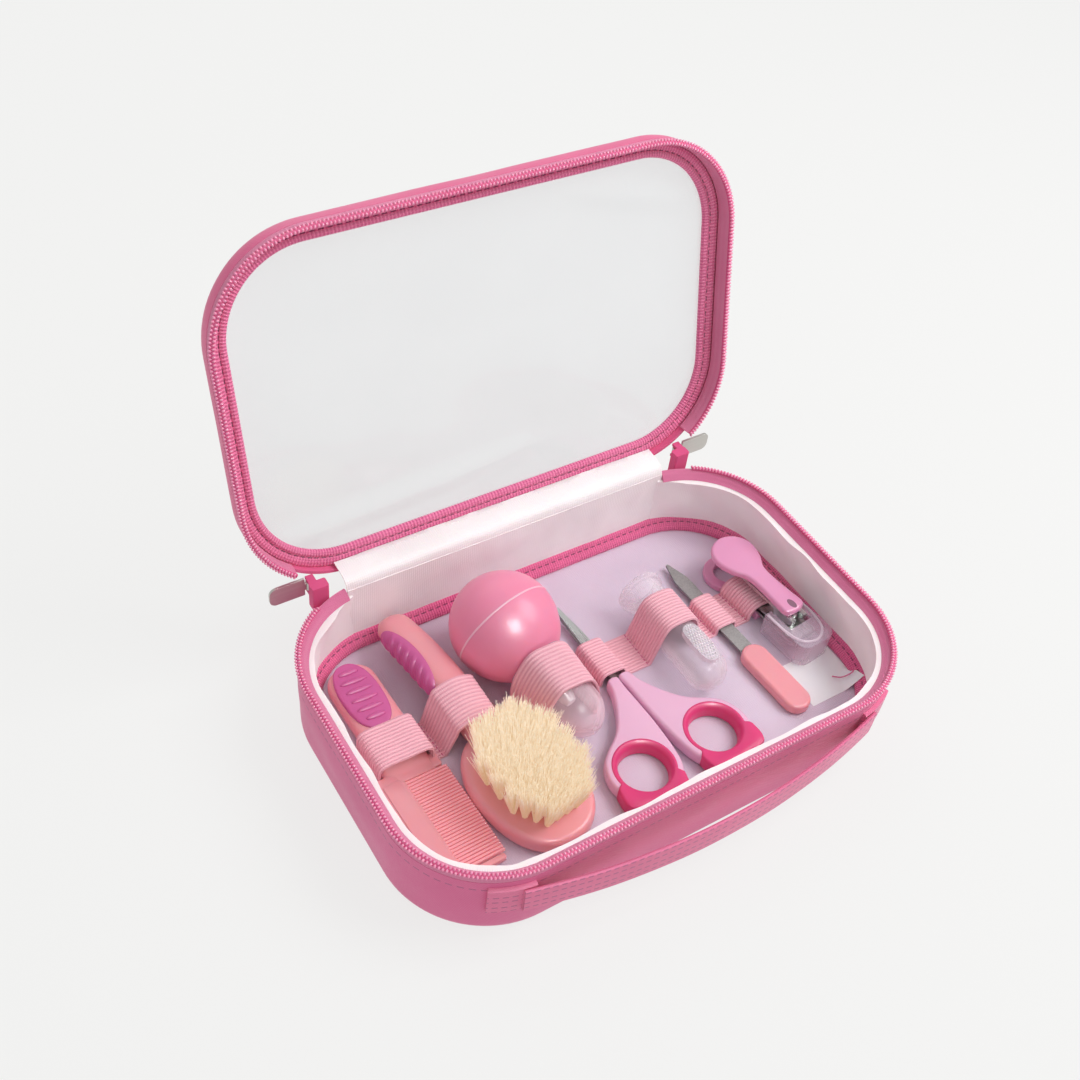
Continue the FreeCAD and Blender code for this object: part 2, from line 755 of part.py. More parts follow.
side_grip = Piece("brush_grip")
sketch = side_grip.sketch("YZ", -brush_handle_width / 2 - grip_proud)
rounded_loop(sketch, side_grip_length - grip_clear * 2, side_grip_width - grip_clear * 2,
             side_grip_corner - grip_clear, (side_grip_y, side_grip_z))
side_grip.pad(sketch, grip_depth + grip_proud)
sketch = side_grip.sketch("YZ", -brush_handle_width / 2 - grip_proud - ridge_height)
first = side_grip_y - side_grip_length / 2 + side_grip_width
reach = side_grip_width / 3
rectangle(sketch, first - ridge_width / 2, side_grip_z - reach, first + ridge_width / 2, side_grip_z + reach)
ridge = side_grip.pad(sketch, ridge_height * 2)
side_grip.pattern(ridge, "Y", side_grip_length - side_grip_width * 2, ridge_count)
side_grip.place(brush_frame)

bristles = Piece("brush_bristles")
sections = []
for level, grow in ((zero, zero), (bristle_height, bristle_flare)):
    sketch = bristles.sketch("XY", brush_head_thick + level)
    oval(sketch, (zero, brush_head_y), bristle_across + grow, bristle_along + grow, bristle_end + grow)
    sections.append(sketch)
bristles.loft(sections)
bristles.place(brush_frame)

# Nasal aspirator, turned about Y, with its nozzle to the front
bulb_radius = cell("bulb_radius", 21.8)
aspirator_z = floor_top + bulb_radius + floor_gap
aspirator_frame = tilted(cell("aspirator_x", -25), cell("aspirator_y", 33), aspirator_z,
                         cell("aspirator_yaw", 11), cell("aspirator_dip", 12))
bulb_wall = cell("bulb_wall", 2.2)
bulb_front = cell("bulb_front", 20)
bulb_nose = cell("bulb_nose", 11.8)
bulb_mouth = cell("bulb_mouth", 6.0)
nozzle_radius = cell("nozzle_radius", 12.2)
nozzle_taper = cell("nozzle_taper", 10.6)
nozzle_cone = cell("nozzle_cone", 24)
nozzle_dome = cell("nozzle_dome", 12)
nozzle_tip = cell("nozzle_tip", 2.5)
nozzle_wall = cell("nozzle_wall", 1.2)
nozzle_plug = cell("nozzle_plug", 9)
plug_clear = cell("plug_clear", 0.1)
inner_cone_length = cell("inner_cone_length", 20)
inner_cone_tip = cell("inner_cone_tip", 2.2)


def bulge(dx, dy):
    """Radius of an arc that crosses dx and dy and ends along dy."""
    return (dx * dx + dy * dy) / (dx * 2)


bulb = Piece("aspirator_bulb")
sketch = bulb.sketch()
inner = bulb_radius - bulb_wall
nose_in = bulb_nose - bulb_wall
front_in = bulb_front - bulb_wall
points = [(bulb_mouth, -bulb_front), (bulb_nose, -bulb_front), (bulb_radius, zero), (zero, bulb_radius),
          (zero, inner), (inner, zero), (nose_in, -front_in), (bulb_mouth, -front_in)]
outline(sketch, points, {1: bulge(bulb_radius - bulb_nose, bulb_front), 2: bulb_radius,
                         4: -inner, 5: -bulge(inner - nose_in, front_in)})
bulb.revolve(sketch)
bulb.place(aspirator_frame)

nozzle = Piece("aspirator_nozzle")
sketch = nozzle.sketch()
plug_out = bulb_mouth - plug_clear
plug_in = plug_out - nozzle_wall
flange = -bulb_front - plug_clear
knee = flange - nozzle_cone
nose = knee - nozzle_dome
nozzle_bore = nozzle_tip - nozzle_wall
points = [(plug_out, flange + nozzle_plug), (plug_in, flange + nozzle_plug), (plug_in, flange - nozzle_wall),
          (nozzle_radius - nozzle_wall, flange - nozzle_wall), (nozzle_taper - nozzle_wall, knee),
          (nozzle_bore, nose + nozzle_wall), (nozzle_bore, nose), (nozzle_tip, nose), (nozzle_taper, knee),
          (nozzle_radius, flange), (plug_out, flange)]
outer_dome = bulge(nozzle_taper - nozzle_tip, nozzle_dome)
inner_dome = bulge(nozzle_taper - nozzle_tip, nozzle_dome - nozzle_wall)
outline(sketch, points, {4: -inner_dome, 7: outer_dome})
nozzle.revolve(sketch)
nozzle.place(aspirator_frame)

cone = Piece("aspirator_cone")
sketch = cone.sketch()
seat = flange - nozzle_wall - plug_clear
brim = nozzle_radius - nozzle_wall * 2
outline(sketch, [(zero, seat - inner_cone_length), (inner_cone_tip, seat - inner_cone_length),
                 (brim - nozzle_wall, seat - nozzle_wall * 2), (brim, seat - nozzle_wall), (brim, seat),
                 (zero, seat)])
cone.revolve(sketch)
cone.place(aspirator_frame)

# Scissors, with the pivot at the frame's origin
scissor_frame = at(cell("scissor_x", 9.8), cell("scissor_y", 8), tool_z, cell("scissor_yaw", 3))
blade_length = cell("blade_length", 35)
blade_width = cell("blade_width", 4.4)
blade_tip = cell("blade_tip", 0.9)
blade_thick = cell("blade_thick", 1.1)
blade_gap = cell("blade_gap", 0.1)
shank = cell("shank", 11)
handle_plate = cell("handle_plate", 6.4)
ring_x = cell("ring_x", 17.5)
ring_y = cell("ring_y", -48.5)
ring_outer = cell("ring_outer", 15.3)
ring_seat = cell("ring_seat", 13)
finger_bore = cell("finger_bore", 10)
arm_root = cell("arm_root", 4.6)
arm_gap = cell("arm_gap", 0.4)
arm_elbow = cell("arm_elbow", 11.5)
foot_reach = cell("foot_reach", 17)
foot_half = cell("foot_half", 9.5)
foot_dip = cell("foot_dip", 1.4)
foot_notch = cell("foot_notch", 2.9)
foot_shoulder = cell("foot_shoulder", 13.5)
rivet_radius = cell("rivet_radius", 1.8)
rivet_head = cell("rivet_head", 3)
rivet_head_thick = cell("rivet_head_thick", 0.7)
plate_round = cell("plate_round", 1.2)

blade_mid = handle_plate / 2


def foot(sketch, side, grow):
    x = ring_x * side
    wide = foot_shoulder + grow
    low = ring_y - foot_reach - grow
    points = [(x - wide, ring_y - foot_half), (x - foot_half - grow, low), (x - foot_notch, low + foot_dip),
              (x + foot_notch, low + foot_dip), (x + foot_half + grow, low), (x + wide, ring_y - foot_half)]
    outline(sketch, points)


def scissor_half(letter, side, blade_low):
    blade = Piece("scissor_blade_" + letter)
    sketch = blade.sketch("XY", blade_low)
    half = blade_width / 2
    inner, outer, tip = half * -side, half * side, blade_tip * side
    root = [(arm_gap * side, -shank), (outer, -shank), (outer, zero), (outer, blade_length / 3),
            (tip, blade_length), (-tip, blade_length), (inner, blade_length / 2), (inner, zero)]
    outline(sketch, root if side > 0 else root[::-1])
    blade.pad(sketch, blade_thick)
    sketch = blade.sketch("XY", blade_low)
    circle(sketch, (zero, zero), rivet_radius + pin_clear)
    blade.pocket(sketch, blade_thick, back=True)
    blade.place(scissor_frame)

    bow = Piece("scissor_handle_" + letter)
    sketch = bow.sketch()
    near, far, across = arm_gap * side, arm_root * side, ring_x * side
    arm = [(near, -shank), (near, -shank * 2), (across / 3, ring_y), (across, ring_y + ring_seat),
           (arm_elbow * side, -shank * 2), (far, -shank)]
    outline(sketch, arm if side > 0 else arm[::-1])
    bow.pad(sketch, handle_plate)
    sketch = bow.sketch()
    circle(sketch, (ring_x * side, ring_y), ring_outer)
    bow.pad(sketch, handle_plate)
    ends = (at_height(zero), at_height(handle_plate))
    bow.fillet(plate_round, lambda edge: ends[0](edge) or ends[1](edge))
    sketch = bow.sketch()
    circle(sketch, (ring_x * side, ring_y), ring_seat)
    bow.pocket(sketch, handle_plate, back=True)
    sketch = bow.sketch()
    foot(sketch, side, grip_clear)
    bow.pocket(sketch, handle_plate, back=True)
    bow.place(scissor_frame)

    ring = Piece("finger_ring_" + letter)
    sketch = ring.sketch()
    circle(sketch, (ring_x * side, ring_y), ring_seat - grip_clear)
    ring.pad(sketch, handle_plate)
    sketch = ring.sketch()
    foot(sketch, side, zero)
    ring.pad(sketch, handle_plate)
    sketch = ring.sketch()
    circle(sketch, (ring_x * side, ring_y), finger_bore)
    ring.pocket(sketch, handle_plate, back=True)
    ring.place(scissor_frame)


scissor_half("a", -1, blade_mid + blade_gap / 2)
scissor_half("b", 1, blade_mid - blade_gap / 2 - blade_thick)

rivet = Piece("scissor_rivet")
rivet_low = blade_mid - blade_gap * 1.5 - blade_thick
sketch = rivet.sketch("XY", rivet_low)
circle(sketch, (zero, zero), rivet_radius)
rivet.pad(sketch, blade_thick * 2 + blade_gap * 3)
for low in (rivet_low - rivet_head_thick, rivet_low + blade_thick * 2 + blade_gap * 3):
    sketch = rivet.sketch("XY", low)
    circle(sketch, (zero, zero), rivet_head)
    rivet.pad(sketch, rivet_head_thick)
rivet.place(scissor_frame)

# Finger toothbrush: a soft sleeve lying with its open end to the back
sleeve_radius = cell("sleeve_radius", 8.8)
sleeve_wall = cell("sleeve_wall", 1.3)
sleeve_length = cell("sleeve_length", 56)
sleeve_dome = cell("sleeve_dome", 8)
sleeve_flange = cell("sleeve_flange", 10.2)
sleeve_flange_length = cell("sleeve_flange_length", 2.5)
pad_y = cell("pad_y", -41.5)
pad_half_width = cell("pad_half_width", 4)
pad_half_length = cell("pad_half_length", 10)
pad_end = cell("pad_end", 3.7)
pad_height = cell("pad_height", 2)
toothbrush_frame = at(cell("toothbrush_x", 41.5), cell("toothbrush_y", 31.5), tool_z + sleeve_flange)

sleeve = Piece("toothbrush_sleeve")
sketch = sleeve.sketch()
bore = sleeve_radius - sleeve_wall
shoulder = sleeve_dome - sleeve_length
outline(sketch, [(zero, -sleeve_length), (sleeve_radius, shoulder), (sleeve_radius, -sleeve_flange_length),
                 (sleeve_flange, -sleeve_flange_length), (sleeve_flange, zero), (bore, zero),
                 (bore, shoulder), (zero, sleeve_wall - sleeve_length)],
        {0: bulge(sleeve_radius, sleeve_dome), 6: -bulge(bore, sleeve_dome - sleeve_wall)})
sleeve.revolve(sketch)
sleeve.place(toothbrush_frame)

pad = Piece("toothbrush_bristles")
sketch = pad.sketch("XY", sleeve_radius - pad_height)
oval(sketch, (zero, pad_y), pad_half_width, pad_half_length, pad_end)
pad.pad(sketch, pad_height * 2)
sketch = pad.sketch("XZ")
circle(sketch, (zero, zero), sleeve_radius + layer_gap)
pad.pocket(sketch, sleeve_length * 2, middle=True)
pad.place(toothbrush_frame)

# Nail file
file_frame = at(cell("file_x", 68), cell("file_y", 0), tool_z, cell("file_yaw", 3))
file_width = cell("file_width", 6.5)
file_thick = cell("file_thick", 1.0)
file_tip = cell("file_tip", 43)
file_point = cell("file_point", 10)
file_tang = cell("file_tang", 24)
file_handle_width = cell("file_handle_width", 12)
file_handle_thick = cell("file_handle_thick", 5)
file_handle_low = cell("file_handle_low", -48)
file_handle_high = cell("file_handle_high", -11)
file_handle_round = cell("file_handle_round", 1.4)
file_low = file_handle_thick / 2 - file_thick / 2

blade = Piece("file_blade")
sketch = blade.sketch("XY", file_low)
half = file_width / 2
nib = file_thick / 2
outline(sketch, [(-half, -file_tang), (half, -file_tang), (half, file_tip - file_point), (nib, file_tip),
                 (-nib, file_tip), (-half, file_tip - file_point)])
blade.pad(sketch, file_thick)
blade.place(file_frame)

holder = Piece("file_handle")
sketch = holder.sketch()
stadium(sketch, file_handle_width, file_handle_low, file_handle_high)
holder.pad(sketch, file_handle_thick)
ends = (at_height(zero), at_height(file_handle_thick))
holder.fillet(file_handle_round, lambda edge: ends[0](edge) or ends[1](edge))
sketch = holder.sketch("XY", file_low - layer_gap / 2)
slot = half + layer_gap / 2
rectangle(sketch, -slot, -file_tang - layer_gap / 2, slot, file_handle_high)
holder.pocket(sketch, file_thick + layer_gap, back=True)
holder.place(file_frame)

# Nail clipper
clipper_frame = at(cell("clipper_x", 89), cell("clipper_y", 7.5), tool_z, cell("clipper_yaw", 6))
arm_half = cell("arm_half", 5)
arm_thick = cell("arm_thick", 1.2)
arm_back = cell("arm_back", 12)
jaw_y = cell("jaw_y", -28)
jaw_edge = cell("jaw_edge", 1.0)
jaw_gap = cell("jaw_gap", 1.0)
jaw_height = cell("jaw_height", 3.2)
grip_thick = cell("grip_thick", 3)
grip_arm_half = cell("grip_arm_half", 6)
grip_arm_front = cell("grip_arm_front", -6)
grip_ring_y = cell("grip_ring_y", 20)
grip_ring_radius = cell("grip_ring_radius", 10)
grip_ring_bore = cell("grip_ring_bore", 5.5)
arm_hinge_y = cell("arm_hinge_y", 4)
arm_join = cell("arm_join", 0.05)
spread_rivet_y = cell("spread_rivet_y", 8)
spread_rivet_radius = cell("spread_rivet_radius", 1.4)
spread_rivet_head = cell("spread_rivet_head", 0.8)
head_play = cell("head_play", 0.25)
post_y = cell("post_y", -19)
post_radius = cell("post_radius", 1.5)
post_head = cell("post_head", 2.6)
post_head_thick = cell("post_head_thick", 1.3)
post_top = cell("post_top", 13.5)
arm_play = cell("arm_play", 0.6)
lever_half = cell("lever_half", 4.5)
lever_top = cell("lever_top", 14)
lever_thick = cell("lever_thick", 1.4)
lever_foot_z = cell("lever_foot_z", 8.6)
lever_foot_front = cell("lever_foot_front", -16)
lever_foot_back = cell("lever_foot_back", -13)
lever_front = cell("lever_front", -22.5)
lever_back = cell("lever_back", 10)
lever_nose = cell("lever_nose", 2.5)
fork_half = cell("fork_half", 2.2)
fork_back = cell("fork_back", -15.5)
lever_grip_thick = cell("lever_grip_thick", 3.5)
lever_grip_half = cell("lever_grip_half", 6)
lever_grip_y = cell("lever_grip_y", 18)
lever_grip_radius = cell("lever_grip_radius", 10.5)
catcher_half = cell("catcher_half", 9.5)
catcher_front = cell("catcher_front", -36)
catcher_back = cell("catcher_back", -12)
catcher_low = cell("catcher_low", 0.4)
catcher_high = cell("catcher_high", 11.8)
catcher_wall = cell("catcher_wall", 1.2)
catcher_slot = cell("catcher_slot", 6)
catcher_corner = cell("catcher_corner", 5)

lower_grip = Piece("clipper_lower_grip")
sketch = lower_grip.sketch()
rectangle(sketch, -grip_arm_half, grip_arm_front, grip_arm_half, grip_ring_y)
lower_grip.pad(sketch, grip_thick)
sketch = lower_grip.sketch()
circle(sketch, (zero, grip_ring_y), grip_ring_radius)
lower_grip.pad(sketch, grip_thick)
sketch = lower_grip.sketch()
circle(sketch, (zero, grip_ring_y), grip_ring_bore)
lower_grip.pocket(sketch, grip_thick, back=True)
lower_grip.place(clipper_frame)

arm_top = grip_thick + arm_thick
jaw_top = grip_thick + jaw_height
heel = jaw_y + jaw_edge
lower_arm = Piece("clipper_lower_arm")
sketch = lower_arm.sketch("YZ")
outline(sketch, [(heel + jaw_edge, grip_thick), (arm_back, grip_thick), (arm_back, arm_top),
                 (heel + jaw_edge * 2, arm_top), (heel, jaw_top), (jaw_y, jaw_top),
                 (jaw_y, grip_thick + jaw_edge)])
lower_arm.pad(sketch, arm_half * 2, middle=True)
for y, radius in ((spread_rivet_y, spread_rivet_radius), (post_y, post_radius)):
    sketch = lower_arm.sketch("XY", grip_thick)
    circle(sketch, (zero, y), radius + pin_clear)
    lower_arm.pocket(sketch, arm_thick, back=True)
lower_arm.place(clipper_frame)

upper_low = arm_top + arm_join
bite = jaw_top + jaw_gap
upper_arm = Piece("clipper_upper_arm")
sketch = upper_arm.sketch("YZ")
upper_top = upper_low + arm_thick
jaw_back = bite + jaw_edge + arm_thick
outline(sketch, [(jaw_y, bite), (heel, bite), (heel + jaw_edge * 1.5, bite + jaw_edge),
                 (arm_hinge_y, upper_low), (arm_back, upper_low),
                 (arm_back, upper_top), (arm_hinge_y, upper_top),
                 (heel + jaw_edge, jaw_back), (jaw_y, jaw_back)])
upper_arm.pad(sketch, arm_half * 2, middle=True)
for y, radius in ((spread_rivet_y, spread_rivet_radius), (post_y, post_radius)):
    sketch = upper_arm.sketch("XY", arm_top)
    circle(sketch, (zero, y), radius + arm_play)
    upper_arm.pocket(sketch, jaw_height * 2, back=True)
upper_arm.place(clipper_frame)

spread_rivet = Piece("clipper_rivet")
sketch = spread_rivet.sketch("XY", grip_thick)
circle(sketch, (zero, spread_rivet_y), spread_rivet_radius)
spread_rivet.pad(sketch, upper_top + head_play - grip_thick)
sketch = spread_rivet.sketch("XY", upper_top + head_play)
circle(sketch, (zero, spread_rivet_y), post_head)
spread_rivet.pad(sketch, spread_rivet_head)
spread_rivet.place(clipper_frame)

post = Piece("clipper_post")
sketch = post.sketch("XY", grip_thick - pin_clear - post_head_thick)
circle(sketch, (zero, post_y), post_head)
post.pad(sketch, post_head_thick)
sketch = post.sketch("XY", grip_thick - pin_clear)
circle(sketch, (zero, post_y), post_radius)
post.pad(sketch, post_top - grip_thick + pin_clear)
post.place(clipper_frame)

lever = Piece("clipper_lever")
sketch = lever.sketch("YZ")
lever_low = lever_top - lever_thick
outline(sketch, [(lever_foot_front, lever_foot_z), (lever_foot_back, lever_foot_z),
                 (lever_foot_back + lever_thick, lever_low), (lever_back, lever_low), (lever_back, lever_top),
                 (lever_front, lever_top), (lever_front, lever_top - lever_nose)])
lever.pad(sketch, lever_half * 2, middle=True)
sketch = lever.sketch("XY", lever_foot_z)
rectangle(sketch, -fork_half, lever_front, fork_half, fork_back)
lever.pocket(sketch, lever_top - lever_foot_z, back=True)
lever.place(clipper_frame)

lever_grip = Piece("clipper_lever_grip")
sketch = lever_grip.sketch("XY", lever_top)
rectangle(sketch, -lever_grip_half, lever_foot_back, lever_grip_half, lever_grip_y)
lever_grip.pad(sketch, lever_grip_thick)
sketch = lever_grip.sketch("XY", lever_top)
circle(sketch, (zero, lever_grip_y), lever_grip_radius)
lever_grip.pad(sketch, lever_grip_thick)
lever_grip.fillet(grip_thick / 3, at_height(lever_top + lever_grip_thick))
lever_grip.place(clipper_frame)

catcher = Piece("nail_catcher")


def cup(inset, low, high):
    side = catcher_half - inset
    soft = catcher_corner - inset
    front = catcher_front + inset
    sketch = catcher.sketch("XY", low)
    outline(sketch, [(soft - side, front), (side - soft, front), (side, front + soft), (side, catcher_back),
                     (-side, catcher_back), (-side, front + soft)], {1: soft, 5: soft})
    return sketch, high - low


catcher.pad(*cup(zero, catcher_low, catcher_high))
sketch, depth = cup(catcher_wall, catcher_low + catcher_wall * 0.8, catcher_high - catcher_wall)
catcher.pocket(sketch, depth, back=True)
sketch = catcher.sketch("XY", catcher_high - catcher_wall)
rectangle(sketch, -catcher_slot, catcher_back * 2, catcher_slot, catcher_back)
catcher.pocket(sketch, catcher_wall, back=True)
catcher.place(clipper_frame)

# White card on the floor at the front right
card_width = cell("card_width", 21)
card_depth = cell("card_depth", 21)
card_thick = cell("card_thick", 0.4)
card_x = cell("card_x", 77)
card_y = cell("card_y", -46)
card = Piece("label_card")
sketch = card.sketch("XY", floor_top)
rectangle(sketch, card_x, card_y, card_x + card_width, card_y + card_depth)
card.pad(sketch, card_thick)

# Elastic strap: one sewn loop for each tool, with a flat foot that runs to the next loop
strap_front = strap_y - strap_width / 2
strap_back = strap_y + strap_width / 2
loop_end_gap = cell("loop_end_gap", 0.2)
strap_end_foot = cell("strap_end_foot", 3)
# The bulb pushes its loop forward along the nozzle.
bulb_shift = cell("bulb_shift", 10)
foot_slant = cell("foot_slant", 0.3)
loop_shift = {"aspirator": bulb_shift}


def loop_sizes(name, centre_back, centre_front, back, front):
    """Cells of a loop: its middle at both edges of the strap, and for each edge the half width at the floor,
    at the belly, the belly's height, the half width of the crown and its height."""
    parts = ("base", "belly", "belly_height", "crown", "height")
    sections = []
    for end, middle, sizes in (("back", centre_back, back), ("front", centre_front, front)):
        cells = [cell("%s_%s_middle" % (name, end), middle)]
        for part, size in zip(parts, sizes):
            cells.append(cell("%s_%s_%s" % (name, end, part), size))
        sections.append(cells)
    return name, sections


loops = [
    loop_sizes("comb", -84.2, -83.75, (10.9, 11, 4.5, 9.5, 9.5), (10.9, 11, 4.5, 9.5, 9.5)),
    loop_sizes("brush", -54.6, -52.1, (9.2, 9.7, 14.5, 7.9, 19.6), (9.2, 9.6, 9.5, 8.2, 14.8)),
    loop_sizes("aspirator", -20.6, -17, (10.8, 13.3, 17.2, 8.5, 30.4), (9.6, 12, 13.2, 7.5, 24.9)),
    loop_sizes("scissor", 9.2, 10.1, (5.5, 5.4, 3, 4.2, 5.8), (5.5, 5.4, 3, 4.2, 5.8)),
    loop_sizes("toothbrush", 41.5, 41.5, (8, 9.6, 10.3, 6.8, 19.8), (8, 9.6, 10.3, 6.8, 19.8)),
    loop_sizes("file", 67, 67.9, (4.5, 4.4, 2, 3.8, 4), (4.5, 4.4, 2, 3.8, 4)),
    loop_sizes("clipper", 87.7, 89.6, (8.6, 8.5, 3.5, 5.7, 7.2), (8.6, 8.5, 3.5, 5.7, 7.2))]


def elastic_loop(name, sections, after_name, after):
    loop = Piece("elastic_" + name)
    sketches = []
    t = elastic_thick
    z = floor_top
    shift = loop_shift.get(name, zero)
    for end, y in ((0, strap_back - shift), (1, strap_front - shift)):
        x, base, belly, belly_height, crown, height = sections[end]
        if after:
            slant = (loop_shift.get(after_name, zero) + shift) * foot_slant
            foot_end = after[end][0] - after[end][1] - t - loop_end_gap - slant
        else:
            foot_end = x + base + t + strap_end_foot
        sketch = loop.sketch("XZ", -y)
        outline(sketch, [
            (x - base - t, z), (x - base, z), (x - belly, z + belly_height), (x - crown, z + height),
            (x + crown, z + height), (x + belly, z + belly_height), (x + base, z), (foot_end, z),
            (foot_end, z + t), (x + base + t, z + t), (x + belly + t, z + belly_height),
            (x + crown + t / 2, z + height + t), (x - crown - t / 2, z + height + t),
            (x - belly - t, z + belly_height)])
        sketches.append(sketch)
    loop.loft(sketches)


doc.recompute()
for index, (name, sections) in enumerate(loops):
    after_name, after = loops[index + 1] if index + 1 < len(loops) else (None, None)
    elastic_loop(name, sections, after_name, after)

# Every object of the document is checked before anything is written.
doc.recompute()
bodies = [item for item in doc.Objects if item.TypeId == "PartDesign::Body"]
for item in doc.Objects:
    if "Invalid" in item.State or "Error" in item.State:
        raise RuntimeError("failed: " + item.Name)
os.makedirs("parts", exist_ok=True)
for item in bodies:
    if item.Shape.isNull() or not item.Shape.isValid() or not item.Shape.Solids:
        raise RuntimeError("bad shape: " + item.Label)
    item.Shape.exportStep("parts/%s.step" % item.Label)
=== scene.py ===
import json
import random
from math import copysign, cos, degrees, exp, hypot, pi, radians, sin, sqrt

import bpy
from mathutils import Matrix, Vector, noise

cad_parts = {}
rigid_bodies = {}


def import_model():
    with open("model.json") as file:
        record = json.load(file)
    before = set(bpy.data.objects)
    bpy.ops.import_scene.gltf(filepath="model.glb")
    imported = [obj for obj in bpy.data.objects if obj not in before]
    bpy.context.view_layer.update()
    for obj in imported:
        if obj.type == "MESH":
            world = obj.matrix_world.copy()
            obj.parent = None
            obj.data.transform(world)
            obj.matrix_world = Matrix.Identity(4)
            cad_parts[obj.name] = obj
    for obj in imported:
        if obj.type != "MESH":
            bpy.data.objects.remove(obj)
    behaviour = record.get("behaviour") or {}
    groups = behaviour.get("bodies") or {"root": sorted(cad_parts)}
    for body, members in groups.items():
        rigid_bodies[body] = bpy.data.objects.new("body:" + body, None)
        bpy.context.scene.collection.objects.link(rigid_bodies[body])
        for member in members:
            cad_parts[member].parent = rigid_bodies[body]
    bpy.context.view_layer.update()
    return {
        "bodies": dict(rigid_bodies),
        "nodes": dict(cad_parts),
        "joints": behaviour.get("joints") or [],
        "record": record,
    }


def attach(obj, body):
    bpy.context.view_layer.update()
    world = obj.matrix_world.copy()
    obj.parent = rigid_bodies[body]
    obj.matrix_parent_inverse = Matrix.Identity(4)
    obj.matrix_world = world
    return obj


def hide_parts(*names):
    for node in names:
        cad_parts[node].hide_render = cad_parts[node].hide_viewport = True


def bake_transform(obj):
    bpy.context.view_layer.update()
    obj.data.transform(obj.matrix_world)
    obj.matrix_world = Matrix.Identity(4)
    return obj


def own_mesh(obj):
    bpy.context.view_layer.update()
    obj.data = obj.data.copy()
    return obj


# Baby grooming kit: the looks of the case, its lid and its tools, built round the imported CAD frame.
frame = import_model()
nodes = frame["nodes"]
MM = 0.001
# The elastic's width and its number of cords
LOOP_WIDTH, CORDS = 18.5, 12
random.seed(7)


# Shader graphs
class Field:
    """A value that changes over a surface, held by a node's socket."""

    def __init__(self, graph, socket):
        self.graph = graph
        self.socket = socket

    def apply(self, operation, other=0.0):
        return self.graph.node("ShaderNodeMath", {"operation": operation}, {0: self, 1: other})

    def __add__(self, other):
        return self.apply("ADD", other)

    def __sub__(self, other):
        return self.apply("SUBTRACT", other)

    def __mul__(self, other):
        return self.apply("MULTIPLY", other)

    def __truediv__(self, other):
        return self.apply("DIVIDE", other)

    def __pow__(self, other):
        return self.apply("POWER", other)

    def __lt__(self, other):
        return self.apply("LESS_THAN", other)

    def __rsub__(self, first):
        return self.graph.node("ShaderNodeMath", {"operation": "SUBTRACT"}, {0: first, 1: self})

    __radd__ = __add__
    __rmul__ = __mul__


class Graph:
    """A node tree that is written with fields."""

    def __init__(self, tree):
        self.tree = tree
        tree.nodes.clear()

    def node(self, kind, settings=None, inputs=None, output=0):
        made = self.tree.nodes.new(kind)
        for name, value in (settings or {}).items():
            setattr(made, name, value)
        for name, value in (inputs or {}).items():
            if isinstance(value, Field):
                self.tree.links.new(value.socket, made.inputs[name])
            else:
                made.inputs[name].default_value = value
        return Field(self, made.outputs[output]) if made.outputs else None

    def mix(self, factor, first, second):
        return self.node("ShaderNodeMix", {"data_type": "RGBA"}, {0: factor, 6: first, 7: second}, 2)

    def split(self, vector):
        parts = self.node("ShaderNodeSeparateXYZ", {}, {0: vector}).socket.node
        return [Field(self, parts.outputs[i]) for i in range(3)]

    def uv(self):
        return self.split(self.node("ShaderNodeUVMap", {"uv_map": "UVMap"}))

    def place(self):
        return self.node("ShaderNodeTexCoord", {}, {}, "Object")

    def noise(self, scale, detail, vector=None):
        return self.node("ShaderNodeTexNoise", {}, {
            "Vector": vector or self.place(), "Scale": scale, "Detail": detail})

    def wave(self, field, pitch):
        """A sine from 0 to 1 that repeats every pitch metres."""
        return (field * (2 * pi / pitch)).apply("SINE") * 0.5 + 0.5

    def dashes(self, along, across, line, pitch, length, width):
        """1 on the stitches of a seam that runs along one field at a line of the other."""
        inside = (across - line).apply("ABSOLUTE") < width / 2
        return inside * ((along / pitch).apply("FRACT") < length)

    def bump(self, height, distance, strength):
        return self.node("ShaderNodeBump", {}, {
            "Strength": strength, "Distance": distance, "Height": height})


def paint(code):
    """A screen colour's linear value."""
    parts = [int(code[i:i + 2], 16) / 255 for i in (0, 2, 4)]
    return [p / 12.92 if p <= 0.04045 else ((p + 0.055) / 1.055) ** 2.4 for p in parts] + [1.0]


class Finish(Graph):
    """A material on one principled shader. Plain values are set on its sockets, fields are linked."""

    def __init__(self, name):
        self.material = bpy.data.materials.new(name)
        self.material.use_nodes = True
        super().__init__(self.material.node_tree)

    def done(self, **sockets):
        named = {name.replace("_", " ").title().replace("Ior", "IOR"): value
                 for name, value in sockets.items()}
        return self.end(self.node("ShaderNodeBsdfPrincipled", {}, named))

    def end(self, shader):
        self.node("ShaderNodeOutputMaterial", {}, {0: shader})
        return self.material


def nylon(name, light, dark, seams=()):
    """Fine pack cloth with a diagonal weave. seams are heights on the cloth where a dashed seam runs."""
    f = Finish(name)
    u, v, _ = f.uv()
    thread = f.wave(u + v, 0.0007) * f.wave(u - v, 0.0011)
    cloud = f.noise(38, 4)
    colour = f.mix(cloud * 0.75 + thread * 0.25, paint(dark), paint(light))
    height = thread * 0.12 + cloud * 0.5
    for line in seams:
        stitch = f.dashes(u, v, line, 0.0032, 0.62, 0.0007)
        groove = (v - line).apply("ABSOLUTE") < 0.0009
        colour = f.mix(stitch * 0.75, colour, paint("a83a70"))
        height = height - groove * 0.35 + stitch * 0.3
    return f.done(base_color=colour, roughness=f.noise(600, 2) * 0.2 + 0.45, sheen_weight=0.25,
                  normal=f.bump(height, 0.0012, 0.5))


